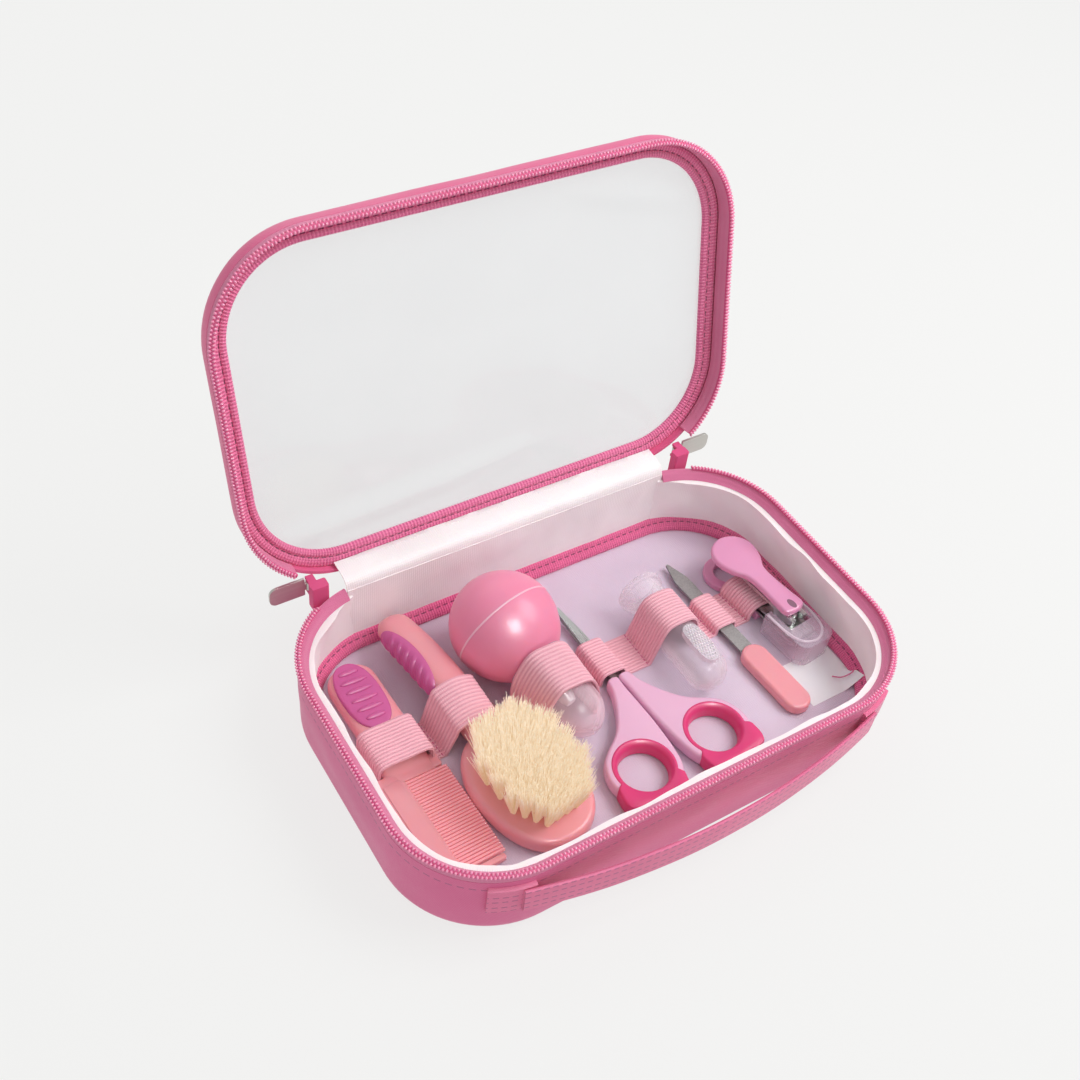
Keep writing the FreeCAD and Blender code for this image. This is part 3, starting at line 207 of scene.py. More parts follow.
def grosgrain(name, light, dark, line, rib=0.0011):
    """Ribbed tape, with ribs across it and a dashed seam along a line of its width."""
    f = Finish(name)
    u, v, _ = f.uv()
    ribs = f.wave(u, rib)
    picks = f.wave(v, rib * 0.9)
    cloud = f.noise(60, 3)
    colour = f.mix(ribs * 0.55 + picks * 0.15 + cloud * 0.35, paint(dark), paint(light))
    stitch = f.dashes(u, v, line, 0.0034, 0.6, 0.0006)
    colour = f.mix(stitch * 0.85, colour, paint("7d1f50"))
    groove = (v - line).apply("ABSOLUTE") < 0.0008
    height = ribs * 0.6 + picks * 0.2 - groove * 0.6
    return f.done(base_color=colour, roughness=cloud * 0.15 + 0.55, sheen_weight=0.3,
                  normal=f.bump(height, 0.0006, 0.8))


def twill(name, light, dark):
    """Woven tape with a herringbone of slanted threads."""
    f = Finish(name)
    u, v, _ = f.uv()
    side = ((v / 0.0026).apply("FRACT") - 0.5).apply("ABSOLUTE") * 0.0052
    threads = f.wave(u + side, 0.0009)
    cloud = f.noise(60, 3)
    colour = f.mix(threads * 0.6 + cloud * 0.4, paint(dark), paint(light))
    return f.done(base_color=colour, roughness=cloud * 0.15 + 0.55, sheen_weight=0.3,
                  normal=f.bump(threads, 0.0004, 0.6))


def bristle(name, light, dark, root, tip):
    """Natural hair, painted lighter towards its tips as painted light on the top of the tufts and darker
    towards its roots as painted shade. A weak painted glow brightens it further.
    """
    f = Finish(name)
    cloud = f.noise(900, 2)
    up = (f.split(f.place())[2] - root) / (tip - root)
    # painted light and shade: the colour goes from dark at the roots to light at the tips
    colour = f.mix(cloud * 0.9 + up ** 3 * 0.7 - 0.4, paint(dark), paint(light))
    # a weak painted glow that brightens the bristles where they shade each other
    return f.done(base_color=colour, roughness=cloud * 0.2 + 0.5,
                  emission_color=colour, emission_strength=0.13)


def lining_cloth(name, light, dark, flat=False, glow=0.0):
    """Thin lining with a plain weave, which follows the floor where the cloth lies flat.
    glow is a painted glow that stands in for light coming through the thin cloth and lightens it in shade."""
    f = Finish(name)
    u, v, _ = f.split(f.place()) if flat else f.uv()
    thread = f.wave(u, 0.0009) * f.wave(v, 0.0009)
    cloud = f.noise(45, 4)
    colour = f.mix(cloud * 0.88 + thread * 0.12, paint(dark), paint(light))
    return f.done(base_color=colour, roughness=cloud * 0.2 + 0.4,
                  subsurface_weight=0.08, subsurface_scale=0.004,
                  emission_color=colour, emission_strength=glow,
                  normal=f.bump(thread * 0.15 + cloud, 0.0012, 0.35))


def moulded(name, light, dark, roughness=0.28, coat=0.25, soft=0.1, glow=0.0):
    """Moulded plastic or rubber with a slight mottle and a fine surface grain.
    soft is how much light enters it, glow a painted glow that lightens a thin piece where it lies in shade."""
    f = Finish(name)
    cloud = f.noise(28, 3)
    fine = f.noise(900, 2)
    colour = f.mix(cloud, paint(dark), paint(light))
    return f.done(base_color=colour, roughness=fine * 0.12 + roughness,
                  coat_weight=coat, coat_roughness=0.12, subsurface_weight=soft, subsurface_scale=0.003,
                  emission_color=colour, emission_strength=glow, normal=f.bump(fine, 0.00005, 0.6))


def see_through(name, light, dark, alpha, roughness, grain=120, edge=0.9, coat=0.5, glow=0.0):
    """Clear plastic. alpha is its cover seen square on, edge its cover at a glance, glow a painted glow
    that lightens it in shade.
    """
    f = Finish(name)
    cloud = f.noise(grain, 3)
    colour = f.mix(cloud, paint(dark), paint(light))
    rim = f.node("ShaderNodeLayerWeight", {}, {"Blend": 0.35}, "Facing")
    return f.done(base_color=colour, roughness=cloud * 0.08 + roughness, alpha=rim * (edge - alpha) + alpha,
                  specular_ior_level=0.6, coat_weight=coat, coat_roughness=0.08,
                  emission_color=colour, emission_strength=glow, normal=f.bump(cloud, 0.0002, 0.3))


def elastic_web(name, light, dark):
    """Woven elastic, with raised cords along it, painted lighter on the ridges and darker in the furrows as
    painted light and shade.
    """
    f = Finish(name)
    u, v, _ = f.uv()
    cords = f.wave(v, LOOP_WIDTH / CORDS * MM)
    picks = f.wave(u, 0.0009)
    cloud = f.noise(50, 3)
    # painted shade: the colour darkens in the furrows between the cords
    colour = f.mix(cords ** 0.45 * 0.8 + cloud * 0.25, paint(dark), paint(light))
    return f.done(base_color=colour, roughness=cloud * 0.15 + 0.6, sheen_weight=0.2,
                  normal=f.bump(cords * 0.8 + picks * 0.2, 0.0006, 0.7))


def steel(name, light, dark, roughness, scratch, grain):
    """Brushed or gritty metal. scratch stretches its noise of scale grain into lines."""
    f = Finish(name)
    stretch = f.node("ShaderNodeMapping", {}, {"Vector": f.place(), "Scale": scratch})
    lines = f.noise(grain, 4, stretch)
    cloud = f.noise(55, 2)
    colour = f.mix(lines * 0.6 + cloud * 0.4, paint(dark), paint(light))
    return f.done(base_color=colour, metallic=1.0, roughness=lines * 0.18 + roughness,
                  normal=f.bump(lines, 0.00006, 0.5))


NYLON = nylon("case_nylon", "e9629a", "d04a82", seams=(0.0345,))
LID_NYLON = nylon("lid_nylon", "ec6798", "d44b80")
BINDING = grosgrain("seam_binding", "f66ca2", "cf3d7a", 0.0086)
LID_BINDING = grosgrain("window_binding", "fb86b3", "d23f7e", 0.0061, rib=0.0014)
TAPE = twill("zip_tape", "f791b9", "d8508b")
COIL = moulded("zip_coil", "f9adc9", "ea76a3", roughness=0.35)
COIL_BASE = moulded("zip_thread", "e4578c", "c93a74", roughness=0.6, coat=0.0)
WEBBING = nylon("handle_webbing", "ee739f", "d65586", seams=(0.0022, 0.0052, 0.0088, 0.0118))
# The wall lining carries a painted glow that lightens its shaded parts.
LINING = lining_cloth("wall_lining", "f7f1f1", "e9dedf", glow=0.08)
FLOOR_CLOTH = lining_cloth("floor_lining", "decbdb", "cfb9cc", flat=True)
SALMON = moulded("salmon_plastic", "f0a2a9", "e6939d", roughness=0.3, soft=0.3)
# The comb's teeth carry a painted glow that lightens them and the shade between them.
COMB_TEETH = moulded("thin_teeth_painted_glow", "f0a2a9", "e6939d", roughness=0.3, soft=0.3, glow=0.16)
PURPLE = moulded("purple_grip", "d4609d", "bd4c8c", roughness=0.42, coat=0.05)
BULB = moulded("bulb_rubber", "f597b5", "eb82a3", roughness=0.34, coat=0.15, soft=0.3)
CONE = moulded("white_cone", "f8f4f6", "eee8ec", roughness=0.3)
LILAC = moulded("scissor_handles", "ebbbd5", "dfaac8", roughness=0.24)
FINGER = moulded("finger_inserts", "e6407f", "cf2b6c", roughness=0.36, coat=0.1)
CLIPPER_PINK = moulded("clipper_plastic", "e7a0c4", "d88cb4", roughness=0.24)
STEEL = steel("polished_steel", "c4c7c4", "a3a5a3", 0.2, scratch=(60.0, 2.0, 60.0), grain=14)
FILE_STEEL = steel("file_grit", "c2bfbe", "5a5756", 0.45, scratch=(1.0, 1.0, 1.0), grain=1400)
PULL_METAL = steel("plated_pull", "d3d2cc", "b7b6b0", 0.3, scratch=(1.0, 40.0, 40.0), grain=14)
FILM = see_through("window_film", "d9dde1", "ccd1d6", 0.13, 0.04, 30, edge=0.4, coat=1.0)
# The nozzle carries a weak painted glow that lightens it where the strap shades it.
NOZZLE = see_through("nozzle_plastic", "ffe9f2", "fbd9e6", 0.16, 0.28, edge=0.55, coat=0.1, glow=0.04)
SILICONE = see_through("clear_silicone", "fdf6fa", "f4e8f0", 0.06, 0.08, edge=0.6)
SOFT_PAD = see_through("silicone_pad", "f7eef5", "eadfe9", 0.3, 0.25)
ELASTIC = elastic_web("elastic_web", "f9bdc9", "e193a6")
STITCH = moulded("stitch_thread", "dc7099", "c65584", roughness=0.7, coat=0.0)
BRISTLE = bristle("natural_bristle", "fffaf0", "f1dcb9", 0.010, 0.029)
CARD_FACE = moulded("white_card", "fbf6f7", "f1eaed", roughness=0.55, coat=0.0)
BOARD = moulded("base_board", "d9cfd6", "c8bcc6", roughness=0.7, coat=0.0)
CATCHER = see_through("catcher_plastic", "f3dfee", "e6cbe0", 0.2, 0.1, edge=0.6)
CATCHER_RIM = see_through("catcher_rim", "f9ecf5", "efdcea", 0.6, 0.1)
SLOT_SHADE = moulded("slot_shade", "8c5f74", "7c5066", roughness=0.6, coat=0.0)
# The bulb's parting ring is painted lighter than the bulb, as a painted highlight on its raised edge.
SEAM_HIGHLIGHT = moulded("bulb_seam", "fbc6d6", "f7b6ca", roughness=0.4)


# Mesh building
def clear_selection():
    bpy.ops.object.select_all(action="DESELECT")


def pick(made):
    """Selects one object alone, for the operators that follow."""
    clear_selection()
    made.select_set(True)
    bpy.context.view_layer.objects.active = made


def new_object(name, points, faces, corners=None):
    """A mesh from points in millimetres. corners gives the UV, in metres, of each face's corners."""
    mesh = bpy.data.meshes.new(name)
    mesh.from_pydata([[c * MM for c in p] for p in points], [], faces)
    if corners:
        layer = mesh.uv_layers.new(name="UVMap")
        flat = [c for face in corners for uv in face for c in uv]
        layer.data.foreach_set("uv", flat)
    mesh.update()
    made = bpy.data.objects.new(name, mesh)
    bpy.context.scene.collection.objects.link(made)
    return made


def grid(name, rows, around=False, ring=False, across=None):
    """A sheet through rows of points. around joins the last row to the first, ring each row's ends.
    across gives the UV across a row, in metres, where it isn't measured from the points."""
    wide = len(rows[0])
    points = [p for row in rows for p in row]
    u = [0.0]
    for i in range(1, len(rows) + 1):
        a, b = Vector(rows[i - 1][0]), Vector(rows[i % len(rows)][0])
        u.append(u[-1] + (b - a).length * MM)
    v = list(across or [0.0])
    for j in range(len(v), wide + 1):
        a, b = Vector(rows[0][j - 1]), Vector(rows[0][j % wide])
        v.append(v[-1] + (b - a).length * MM)
    faces, corners = [], []
    for i in range(len(rows) if around else len(rows) - 1):
        k = (i + 1) % len(rows)
        for j in range(wide if ring else wide - 1):
            m = (j + 1) % wide
            faces.append((i * wide + j, i * wide + m, k * wide + m, k * wide + j))
            corners.append(((u[i], v[j]), (u[i], v[j + 1]), (u[i + 1], v[j + 1]), (u[i + 1], v[j])))
    return new_object(name, points, faces, corners)


def modify(made, kind, **settings):
    """Adds a modifier and applies it."""
    modifier = made.modifiers.new(kind.lower(), kind)
    for name, value in settings.items():
        setattr(modifier, name, value)
    pick(made)
    bpy.ops.object.modifier_apply(modifier=modifier.name)
    return made


def smooth(made, angle):
    """Shades smooth, apart from edges sharper than the angle in degrees."""
    pick(made)
    bpy.ops.object.shade_smooth_by_angle(angle=radians(angle))
    return made


def outward(made):
    """Merges doubles and turns the faces to the outside."""
    pick(made)
    bpy.ops.object.mode_set(mode="EDIT")
    bpy.ops.mesh.select_all(action="SELECT")
    bpy.ops.mesh.remove_doubles(threshold=1e-6)
    bpy.ops.mesh.normals_make_consistent(inside=False)
    bpy.ops.object.mode_set(mode="OBJECT")
    return made


def fill_open(made):
    """Fills every hole."""
    pick(made)
    bpy.ops.object.mode_set(mode="EDIT")
    bpy.ops.mesh.select_all(action="SELECT")
    bpy.ops.mesh.fill_holes(sides=0)
    bpy.ops.object.mode_set(mode="OBJECT")


def solid(name, rows, angle=60, around=False, ring=True, across=None):
    """A grid through rows of points with its open ends filled. angle is the sharpest smooth edge."""
    made = grid(name, rows, around, ring, across)
    fill_open(made)
    return smooth(outward(made), angle)


def add_copy(points, faces, more, sides):
    """Adds one more small solid to a mesh's points and faces."""
    first = len(points)
    points += more
    faces += [tuple(first + i for i in side) for side in sides]


def dress(made, finish, body, slot, *replaced):
    """Gives a piece its material and the body it rides on, and hides the CAD nodes it stands for. Its slot
    is not used.
    """
    made.data.materials.clear()
    made.data.materials.append(finish)
    if body:
        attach(made, body)
    if replaced:
        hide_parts(*replaced)
    return made


# Curves, loops and small solids
BOX_SIDES = [(3, 2, 1, 0), (4, 5, 6, 7), (0, 1, 5, 4), (1, 2, 6, 5), (2, 3, 7, 6), (3, 0, 4, 7)]


def ease(t):
    """A smooth step from 0 to 1."""
    t = min(max(t, 0.0), 1.0)
    return t * t * (3 - 2 * t)


def ripple(x, y, seed):
    """Smooth noise from -1 to 1 at a place on a sheet."""
    return noise.noise(Vector((x, y, seed)))


def spoke(k, steps):
    """The cosine and sine of step k of a full turn."""
    a = 2 * pi * k / steps
    return cos(a), sin(a)


def swell(value, power):
    """A power that keeps the value's sign."""
    return copysign(abs(value) ** power, value)


def between(a, b, c, d, t):
    """A point between b and c on the smooth curve through a, b, c and d."""
    return 0.5 * (2 * b + (c - a) * t + (2 * a - 5 * b + 4 * c - d) * t * t
                  + (3 * b - a - 3 * c + d) * t ** 3)


def curve_through(points, steps):
    """Points of a smooth curve that passes through all of these."""
    points = [Vector(p) for p in points]
    points = [2 * points[0] - points[1]] + points + [2 * points[-1] - points[-2]]
    out = []
    for a, b, c, d in zip(points, points[1:], points[2:], points[3:]):
        out += [between(a, b, c, d, k / steps) for k in range(steps)]
    return out + [points[-2]]


def closed_curve(points, steps):
    """A smooth closed loop through points."""
    count = len(points)
    points = [Vector((x, y, 0)) for x, y in points]
    out = []
    for i in range(count):
        a, b, c, d = (points[(i + k) % count] for k in (-1, 0, 1, 2))
        out += [tuple(between(a, b, c, d, k / steps).xy) for k in range(steps)]
    return out


def oval_loop(x, y, across, along, steps, power):
    """An oval that a higher power makes squarer."""
    out = []
    for k in range(steps):
        c, s = spoke(k, steps)
        out.append((x + across * swell(c, 2 / power), y + along * swell(s, 2 / power)))
    return out


def inset_loop(loop, inset):
    """A loop drawn in towards its inside."""
    out = []
    for i in range(len(loop)):
        (x0, y0), (x1, y1), (x2, y2) = loop[i - 1], loop[i], loop[(i + 1) % len(loop)]
        dx, dy = x2 - x0, y2 - y0
        size = hypot(dx, dy) or 1.0
        out.append((x1 - inset * dy / size, y1 + inset * dx / size))
    return out


def pad_form(name, loop, levels, frame):
    """A solid with the same plan at each level, given as (height, inset)."""
    rows = []
    for z, inset in levels:
        rows.append([tuple(frame @ Vector((x, y, z))) for x, y in inset_loop(loop, inset)])
    return solid(name, rows, 50)


def soft_levels(low, high, radius, steps, crown=0.0):
    """Levels of a pad whose lower and upper edges are rounded. crown lifts its top towards the middle."""
    arc = [spoke(k, 4 * steps) for k in range(steps + 1)]
    levels = [(low + radius * (1 - s), radius * (1 - c)) for c, s in arc[::-1]]
    levels += [(high - radius + radius * s, radius * (1 - c)) for c, s in arc]
    if crown:
        levels += [(high + crown * (1 - (1 - k / 4) ** 2), radius + k * 1.3) for k in (1, 2, 3)]
    return levels


def tube_form(name, stations, frame, power):
    """A rounded bar along y, through stations of (y, half width, lower and upper height)."""
    steps = 32
    rows = []
    for y, half, low, high in stations:
        row = []
        for k in range(steps):
            c, s = spoke(k, steps)
            x = half * swell(c, 2 / power)
            z = (low + high) / 2 + (high - low) / 2 * swell(s, 2 / power)
            row.append(tuple(frame @ Vector((x, y, z))))
        rows.append(row)
    return solid(name, rows, 50)


def tube_along(name, path, radius, frame, steps=8):
    """A round bead of one radius along a path."""
    rows = []
    for i, p in enumerate(path):
        ahead = (path[min(i + 1, len(path) - 1)] - path[max(i - 1, 0)]).normalized()
        side = ahead.cross(Vector((0, 0, 1))).normalized()
        up = side.cross(ahead)
        rows.append([tuple(frame @ (p + (side * c + up * s) * radius))
                     for c, s in (spoke(k, steps) for k in range(steps))])
    return solid(name, rows)


def unit_ball(rings=5, segments=8):
    """The points and faces of a ball of radius 1, to copy."""
    clear_selection()
    bpy.ops.mesh.primitive_uv_sphere_add(segments=segments, ring_count=rings, radius=1.0)
    ball = bpy.context.object
    shape = [v.co.copy() for v in ball.data.vertices]
    sides = [tuple(p.vertices) for p in ball.data.polygons]
    bpy.data.objects.remove(ball)
    return shape, sides


def beads(shapes, frame, rings=5, segments=8):
    """Points and faces of small ellipsoids, given as (centre, half sizes, turn about z)."""
    shape, sides = unit_ball(rings, segments)
    points, faces = [], []
    for centre, half, turn in shapes:
        spin = Matrix.Rotation(turn, 3, "Z")
        more = [tuple(frame @ (Vector(centre) + spin @ (v * Vector(half)))) for v in shape]
        add_copy(points, faces, more, sides)
    return points, faces


def closed_rect(x0, y0, x1, y1, radius):
    """A rectangle with round corners."""
    steps = 4
    out = []
    for cx, cy, start in ((x1 - radius, y1 - radius, 0), (x0 + radius, y1 - radius, 90),
                          (x0 + radius, y0 + radius, 180), (x1 - radius, y0 + radius, 270)):
        for k in range(steps + 1):
            a = radians(start + 90 * k / steps)
            out.append((cx + radius * cos(a), cy + radius * sin(a)))
    return out


# The case's plan: points round the rim with their outward normals
WIDTH, DEPTH, CORNER, RIM_Z = 220.0, 142.0, 41.0, 36.5
HINGE_Y, LID_ANGLE = 72.0, radians(103)
PANEL_END = 75.5


def rim_plan():
    """Goes clockwise from the middle of the hinge wall, in even steps."""
    step = 2.4
    a, b, r = WIDTH / 2 - CORNER, DEPTH / 2 - CORNER, CORNER
    plan = []

    def line(x0, y0, x1, y1, nx, ny):
        count = max(2, round(hypot(x1 - x0, y1 - y0) / step))
        for i in range(count):
            t = i / count
            plan.append((x0 + (x1 - x0) * t, y0 + (y1 - y0) * t, nx, ny))

    def corner(cx, cy, start):
        count = round(r * pi / 2 / step)
        for i in range(count):
            angle = radians(start) - i / count * pi / 2
            c, s = cos(angle), sin(angle)
            plan.append((cx + r * c, cy + r * s, c, s))

    line(0, b + r, a, b + r, 0, 1)
    corner(a, b, 90)
    line(a + r, b, a + r, -b, 1, 0)
    corner(a, -b, 0)
    line(a, -b - r, -a, -b - r, 0, -1)
    corner(-a, -b, -90)
    line(-a - r, -b, -a - r, b, -1, 0)
    corner(-a, b, 180)
    line(-a, b + r, 0, b + r, 0, 1)
    return plan


PLAN = rim_plan()


def plan_past(end):
    """The plan without the part of the hinge wall that is nearer to the middle than end."""
    return [p for p in PLAN if p[1] < 0 or abs(p[0]) > end]


ZIP_PLAN, LID_ZIP_PLAN = plan_past(89.0), plan_past(92.5)
TAPE_PLAN, LINING_PLAN = plan_past(74.5), plan_past(72.0)


def on_case(x, y, z):
    return (x, y, z)


def on_lid(x, y, z):
    """A point given on the shut lid, measured up from the rim, at its place on the open lid."""
    y = y - HINGE_Y
    c, s = cos(LID_ANGLE), sin(LID_ANGLE)
    return (x, HINGE_Y + y * c + z * s, RIM_Z - y * s + z * c)


def band(name, profile, angle, plan=PLAN, place=on_case, wave=None, ring=True):
    """Carries a profile of (inset, height) points round the plan. wave(s, t) adds to both.
    ring closes the profile."""
    rows = []
    s = 0.0
    for i, (x, y, nx, ny) in enumerate(plan):
        if i:
            s += hypot(x - plan[i - 1][0], y - plan[i - 1][1])
        row = []
        for j, (inset, z) in enumerate(profile):
            extra, rise = wave(s, j / (len(profile) - 1)) if wave else (0.0, 0.0)
            off = inset + extra
            row.append(place(x - nx * off, y - ny * off, z + rise))
        rows.append(row)
    return solid(name, rows, angle, plan is PLAN, ring)


# Case cloth
def case_wall():
    """The nylon wall and underside, with some slack between its seams."""
    profile = [(9, 0), (5, 0), (2.5, 0), (1.2, 0.3), (0.3, 1.2), (0, 2.5)]
    profile += [(0, 2.5 + 28.5 * k / 14) for k in range(1, 15)]
    profile += [(1.2, 31), (1.2, 16), (1.2, 2.2), (9, 1.6)]

    lowest, span = 0.22, 0.61

    def slack(s, t):
        if not lowest <= t <= lowest + span:
            return 0.0, 0.0
        fade = sin(pi * (t - lowest) / span)
        wide = ripple(s / 46, t * 2, 1.0)
        fold = ripple(s / 17, t * 3 + s / 60, 5.0)
        return -fade * (0.45 + 0.7 * wide + 0.4 * fold), 0.0

    wall = band("case_wall_cloth", profile, 50, wave=slack, ring=False)
    dress(wall, NYLON, "case", "shell", "case_shell")


def lining_wall():
    """The gathered lining, which tucks in behind the hinge panel at its two ends."""
    outer = [(1.4, 2.4), (1.4, 12), (1.4, 22), (1.5, 29.0), (2.6, 30.6), (4.0, 31.3)]
    inner = [(6.4 - 3.6 * (k / 12) ** 0.7, 31.0 - 28.6 * k / 12) for k in range(13)]
    length = sum(hypot(a[0] - b[0], a[1] - b[1]) for a, b in zip(LINING_PLAN, LINING_PLAN[1:]))

    # Where the profile's lip and its inner face begin, and how far from an end the tuck reaches
    lip_from, face_from, reach = 0.2, 0.3, 14

    def folds(s, t):
        if t < lip_from:
            return 0.0, 0.0
        near = 1 - min(min(s, length - s) / reach, 1.0)
        if t < face_from:
            return -1.6 * near, 0.0
        down = (t - face_from) / (1 - face_from)
        fade = sin(pi * min(down * 1.15, 1.0)) + 0.25
        tall = ripple(s / 11 + down * 0.9, down * 0.8, 2.0)
        slow = ripple(s / 26 - down * 1.3, down * 1.2, 7.0)
        lip = 0.7 * ripple(s / 12, 3.0, 4.0) if down < 0.15 else 0.0
        edge = 1.5 * ripple(s / 16, 1.0, 14.0) * max(0.0, 1 - down * 2.5)
        tuck = 3.6 * near * max(0.0, 1 - down)
        return max(-1.2, (fade * (0.9 * tall + 2.0 * slow) + edge) * (1 - near)) - tuck, lip * (1 - near)

    wall = band("wall_lining_cloth", outer + inner, 60, LINING_PLAN, wave=folds)
    dress(wall, LINING, "case", "lining", "case_lining")


def plan_sheet(name, inset, count, height, place, top, bottom):
    """A closed sheet over the plan. height(x, y) lifts its two faces, which lie at top and bottom."""
    def ring_row(k, z):
        share = 1 - k / count
        row = []
        for x, y, nx, ny in PLAN:
            px, py = (x - nx * inset) * share, (y - ny * inset) * share
            row.append(place(px, py, z + height(px, py)))
        return row

    rows = [ring_row(k, top) for k in range(count, -1, -1)]
    rows += [ring_row(k, bottom) for k in range(count + 1)]
    return smooth(outward(grid(name, rows, ring=True)), 60)


def floor_cloth():
    """The lining laid on the floor, with slight creases."""
    deep = 0.12

    def creases(x, y):
        return deep * ripple(x / 18, y / 18, 3.0) - deep

    cloth = plan_sheet("floor_lining_cloth", 1.6, 16, creases, on_case, 2.42, 1.9)
    dress(cloth, FLOOR_CLOTH, "case", "lining")


def floor_roll():
    """The tape rolled over the floor's seam."""
    profile = [(1.9, 2.3), (1.9, 7.2), (2.5, 7.8), (3.3, 7.6), (4.0, 6.9), (4.4, 6.1), (4.7, 5.9),
               (5.4, 5.8), (6.3, 5.1), (7.0, 4.2), (7.2, 3.2), (6.8, 2.3)]

    def soft(s, t):
        fade = sin(pi * t)
        return 0.35 * fade * ripple(s / 20, 0.0, 8.0), 0.0

    roll = band("floor_seam_binding", profile, 60, wave=soft)
    dress(roll, BINDING, "case", "binding", "floor_binding")


def even_stations(plan, pitch, start):
    """Points every pitch millimetres along a plan, with their normals."""
    found = []
    due = start
    run = 0.0
    for (x0, y0, nx0, ny0), (x1, y1, nx1, ny1) in zip(plan, plan[1:]):
        length = hypot(x1 - x0, y1 - y0)
        while due < run + length:
            t = (due - run) / length
            found.append((x0 + (x1 - x0) * t, y0 + (y1 - y0) * t,
                          nx0 + (nx1 - nx0) * t, ny0 + (ny1 - ny0) * t))
            due += pitch
        run += length
    return found


def zip_half(side, place, body, low, high, inside, node_tape, node_coil):
    """One half of the zip: its woven tape and its coil, as two rows of turns on a sewn cord."""
    on_base = body == "case"
    plan = ZIP_PLAN if on_base else LID_ZIP_PLAN
    lean, up = (2.9, 1) if on_base else (0.6, -1)
    profile = [(0.1, low), (0.1, high), (1.2, high), (1.4 + lean * 0.5, (high + inside) / 2),
               (1.3 + lean, inside), (0.9 + lean, inside - 0.3), (0.8, low)]
    tape = band(side + "_zip_tape_cloth", profile, 50, TAPE_PLAN if on_base else plan, place)
    dress(tape, TAPE, body, "zip", node_tape)
    cord_line = [(-0.35, -0.2), (-0.55, 0.6), (0.1, 1.25), (1.0, 1.25), (1.4, 0.5), (1.1, -0.2)]
    cord = band(side + "_zip_cord", [(x, high + up * z) for x, z in cord_line], 50, plan, place)
    dress(cord, COIL_BASE, body, "zip", node_coil)
    shape, sides = unit_ball()
    pitch, half, wide, tall = 1.45, 0.52, 0.72, 0.62
    points, faces = [], []
    for inset, rise, start in ((-0.45, 0.6, 0.0), (0.75, 1.15, 0.72)):
        for x, y, nx, ny in even_stations(plan, pitch, start):
            centre = Vector((x - nx * inset, y - ny * inset, high + up * rise))
            along = Vector((-ny, nx, 0))
            out = Vector((nx, ny, 0))
            turn = [centre + along * v.x * half + out * v.y * wide + Vector((0, 0, v.z * tall))
                    for v in shape]
            add_copy(points, faces, [place(*p) for p in turn], sides)
    coil = new_object(side + "_zip_coil_turns", points, faces)
    dress(smooth(outward(coil), 60), COIL, body, "zip")


def hinge_cloth():
    """The white panel inside the hinge wall, the fold that carries it on to the lid, and the back strip."""
    low, tall, face, back = 6.0, 28.3, 68.3, 69.0
    stations = [-PANEL_END + 2 * PANEL_END * i / 72 for i in range(73)]
    rows = []
    for x in stations:
        row = []
        for k in range(13):
            fade = sin(pi * k / 12) + 0.2
            fine = ripple(x / 8, k / 14, 11.0)
            slow = ripple(x / 30, k / 7, 15.0)
            row.append((x, face - fade * max(-0.1, 0.35 * fine + 0.9 * slow), low + tall * k / 12))
        rows.append(row + [(x, back, low + tall - tall * k / 4) for k in range(5)])
    panel = solid("hinge_wall_panel", rows)
    dress(panel, LINING, "case", "lining", "hinge_panel")

    path = [(68.4, 33.4), (68.7, 35.0), (69.3, 36.6), (70.6, 38.0), (72.8, 38.9), (75.4, 39.2),
            (78.2, 39.3), (80.3, 39.6)]
    path += [(y + 0.35, z - 0.45) for y, z in path[::-1]]
    rows = [[(x, y + 0.25 * ripple(x / 9, y, 2.0), z) for y, z in path] for x in stations]
    fold = solid("hinge_fold_cloth", rows)
    dress(fold, LINING, None, "lining")
    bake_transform(fold)

    path = [(70.6, 30.5), (70.9, 33.0), (72.6, 34.0), (74.4, 35.2), (75.6, 36.8)]
    path += [(y - 0.6, z + 0.35) for y, z in path[::-1]]
    rows = [[(-72 + 144 * i / 40, y, z) for y, z in path] for i in range(41)]
    outer = solid("hinge_back_cloth", rows)
    dress(outer, LID_NYLON, None, "shell", "hinge_strip", "lid_hinge_strip")
    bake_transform(outer)


# Lid cloth
def lid_cloth():
    """The lid's wall, the rolled binding of its window and the slack film."""
    profile = [(0, 5.5), (-0.15, 7.5), (-0.1, 9.5), (0.3, 11.2), (1.0, 11.9), (2.2, 12.0),
               (6.0, 12.0), (6.0, 11.3), (1.6, 11.3), (1.2, 10.8), (1.2, 5.5)]

    def slack(s, t):
        fade = sin(pi * min(t / 0.4, 1.0))
        return -0.4 * fade * ripple(s / 24, t, 21.0), 0.0

    wall = band("lid_wall_cloth", profile, 50, place=on_lid, wave=slack)
    dress(wall, LID_NYLON, "lid", "shell", "lid_wall")
    profile = [(1.3, 10.5), (1.3, 8.8), (2.0, 8.3), (3.2, 8.2), (4.6, 8.3), (5.1, 8.7), (5.4, 8.9),
               (5.7, 8.6), (6.2, 8.2), (7.4, 8.2), (8.2, 8.8), (8.5, 9.6), (8.3, 10.5)]
    binding = band("window_seam_binding", profile, 60, place=on_lid)
    dress(binding, LID_BINDING, "lid", "binding", "lid_binding")

    def sag(x, y):
        edge = max(0.0, 1 - (abs(x) / 106) ** 4) * max(0.0, 1 - (abs(y) / 68) ** 4)
        wide = ripple(x / 60, y / 45, 31.0)
        fine = ripple(x / 25, y / 25, 37.0)
        low = exp(-((y - 50 + 0.06 * (x + 40)) / 5) ** 2 - ((x + 40) / 52) ** 4)
        far = exp(-((y + 50 - 0.25 * (x - 66)) / 6) ** 2 - ((x - 66) / 28) ** 4)
        return edge * (1.3 * wide + 0.5 * fine) - 2.6 * low - 1.9 * far

    film = plan_sheet("window_film_sheet", 1.5, 40, sag, on_lid, 11.05, 10.7)
    dress(film, FILM, "lid", "window", "lid_window")


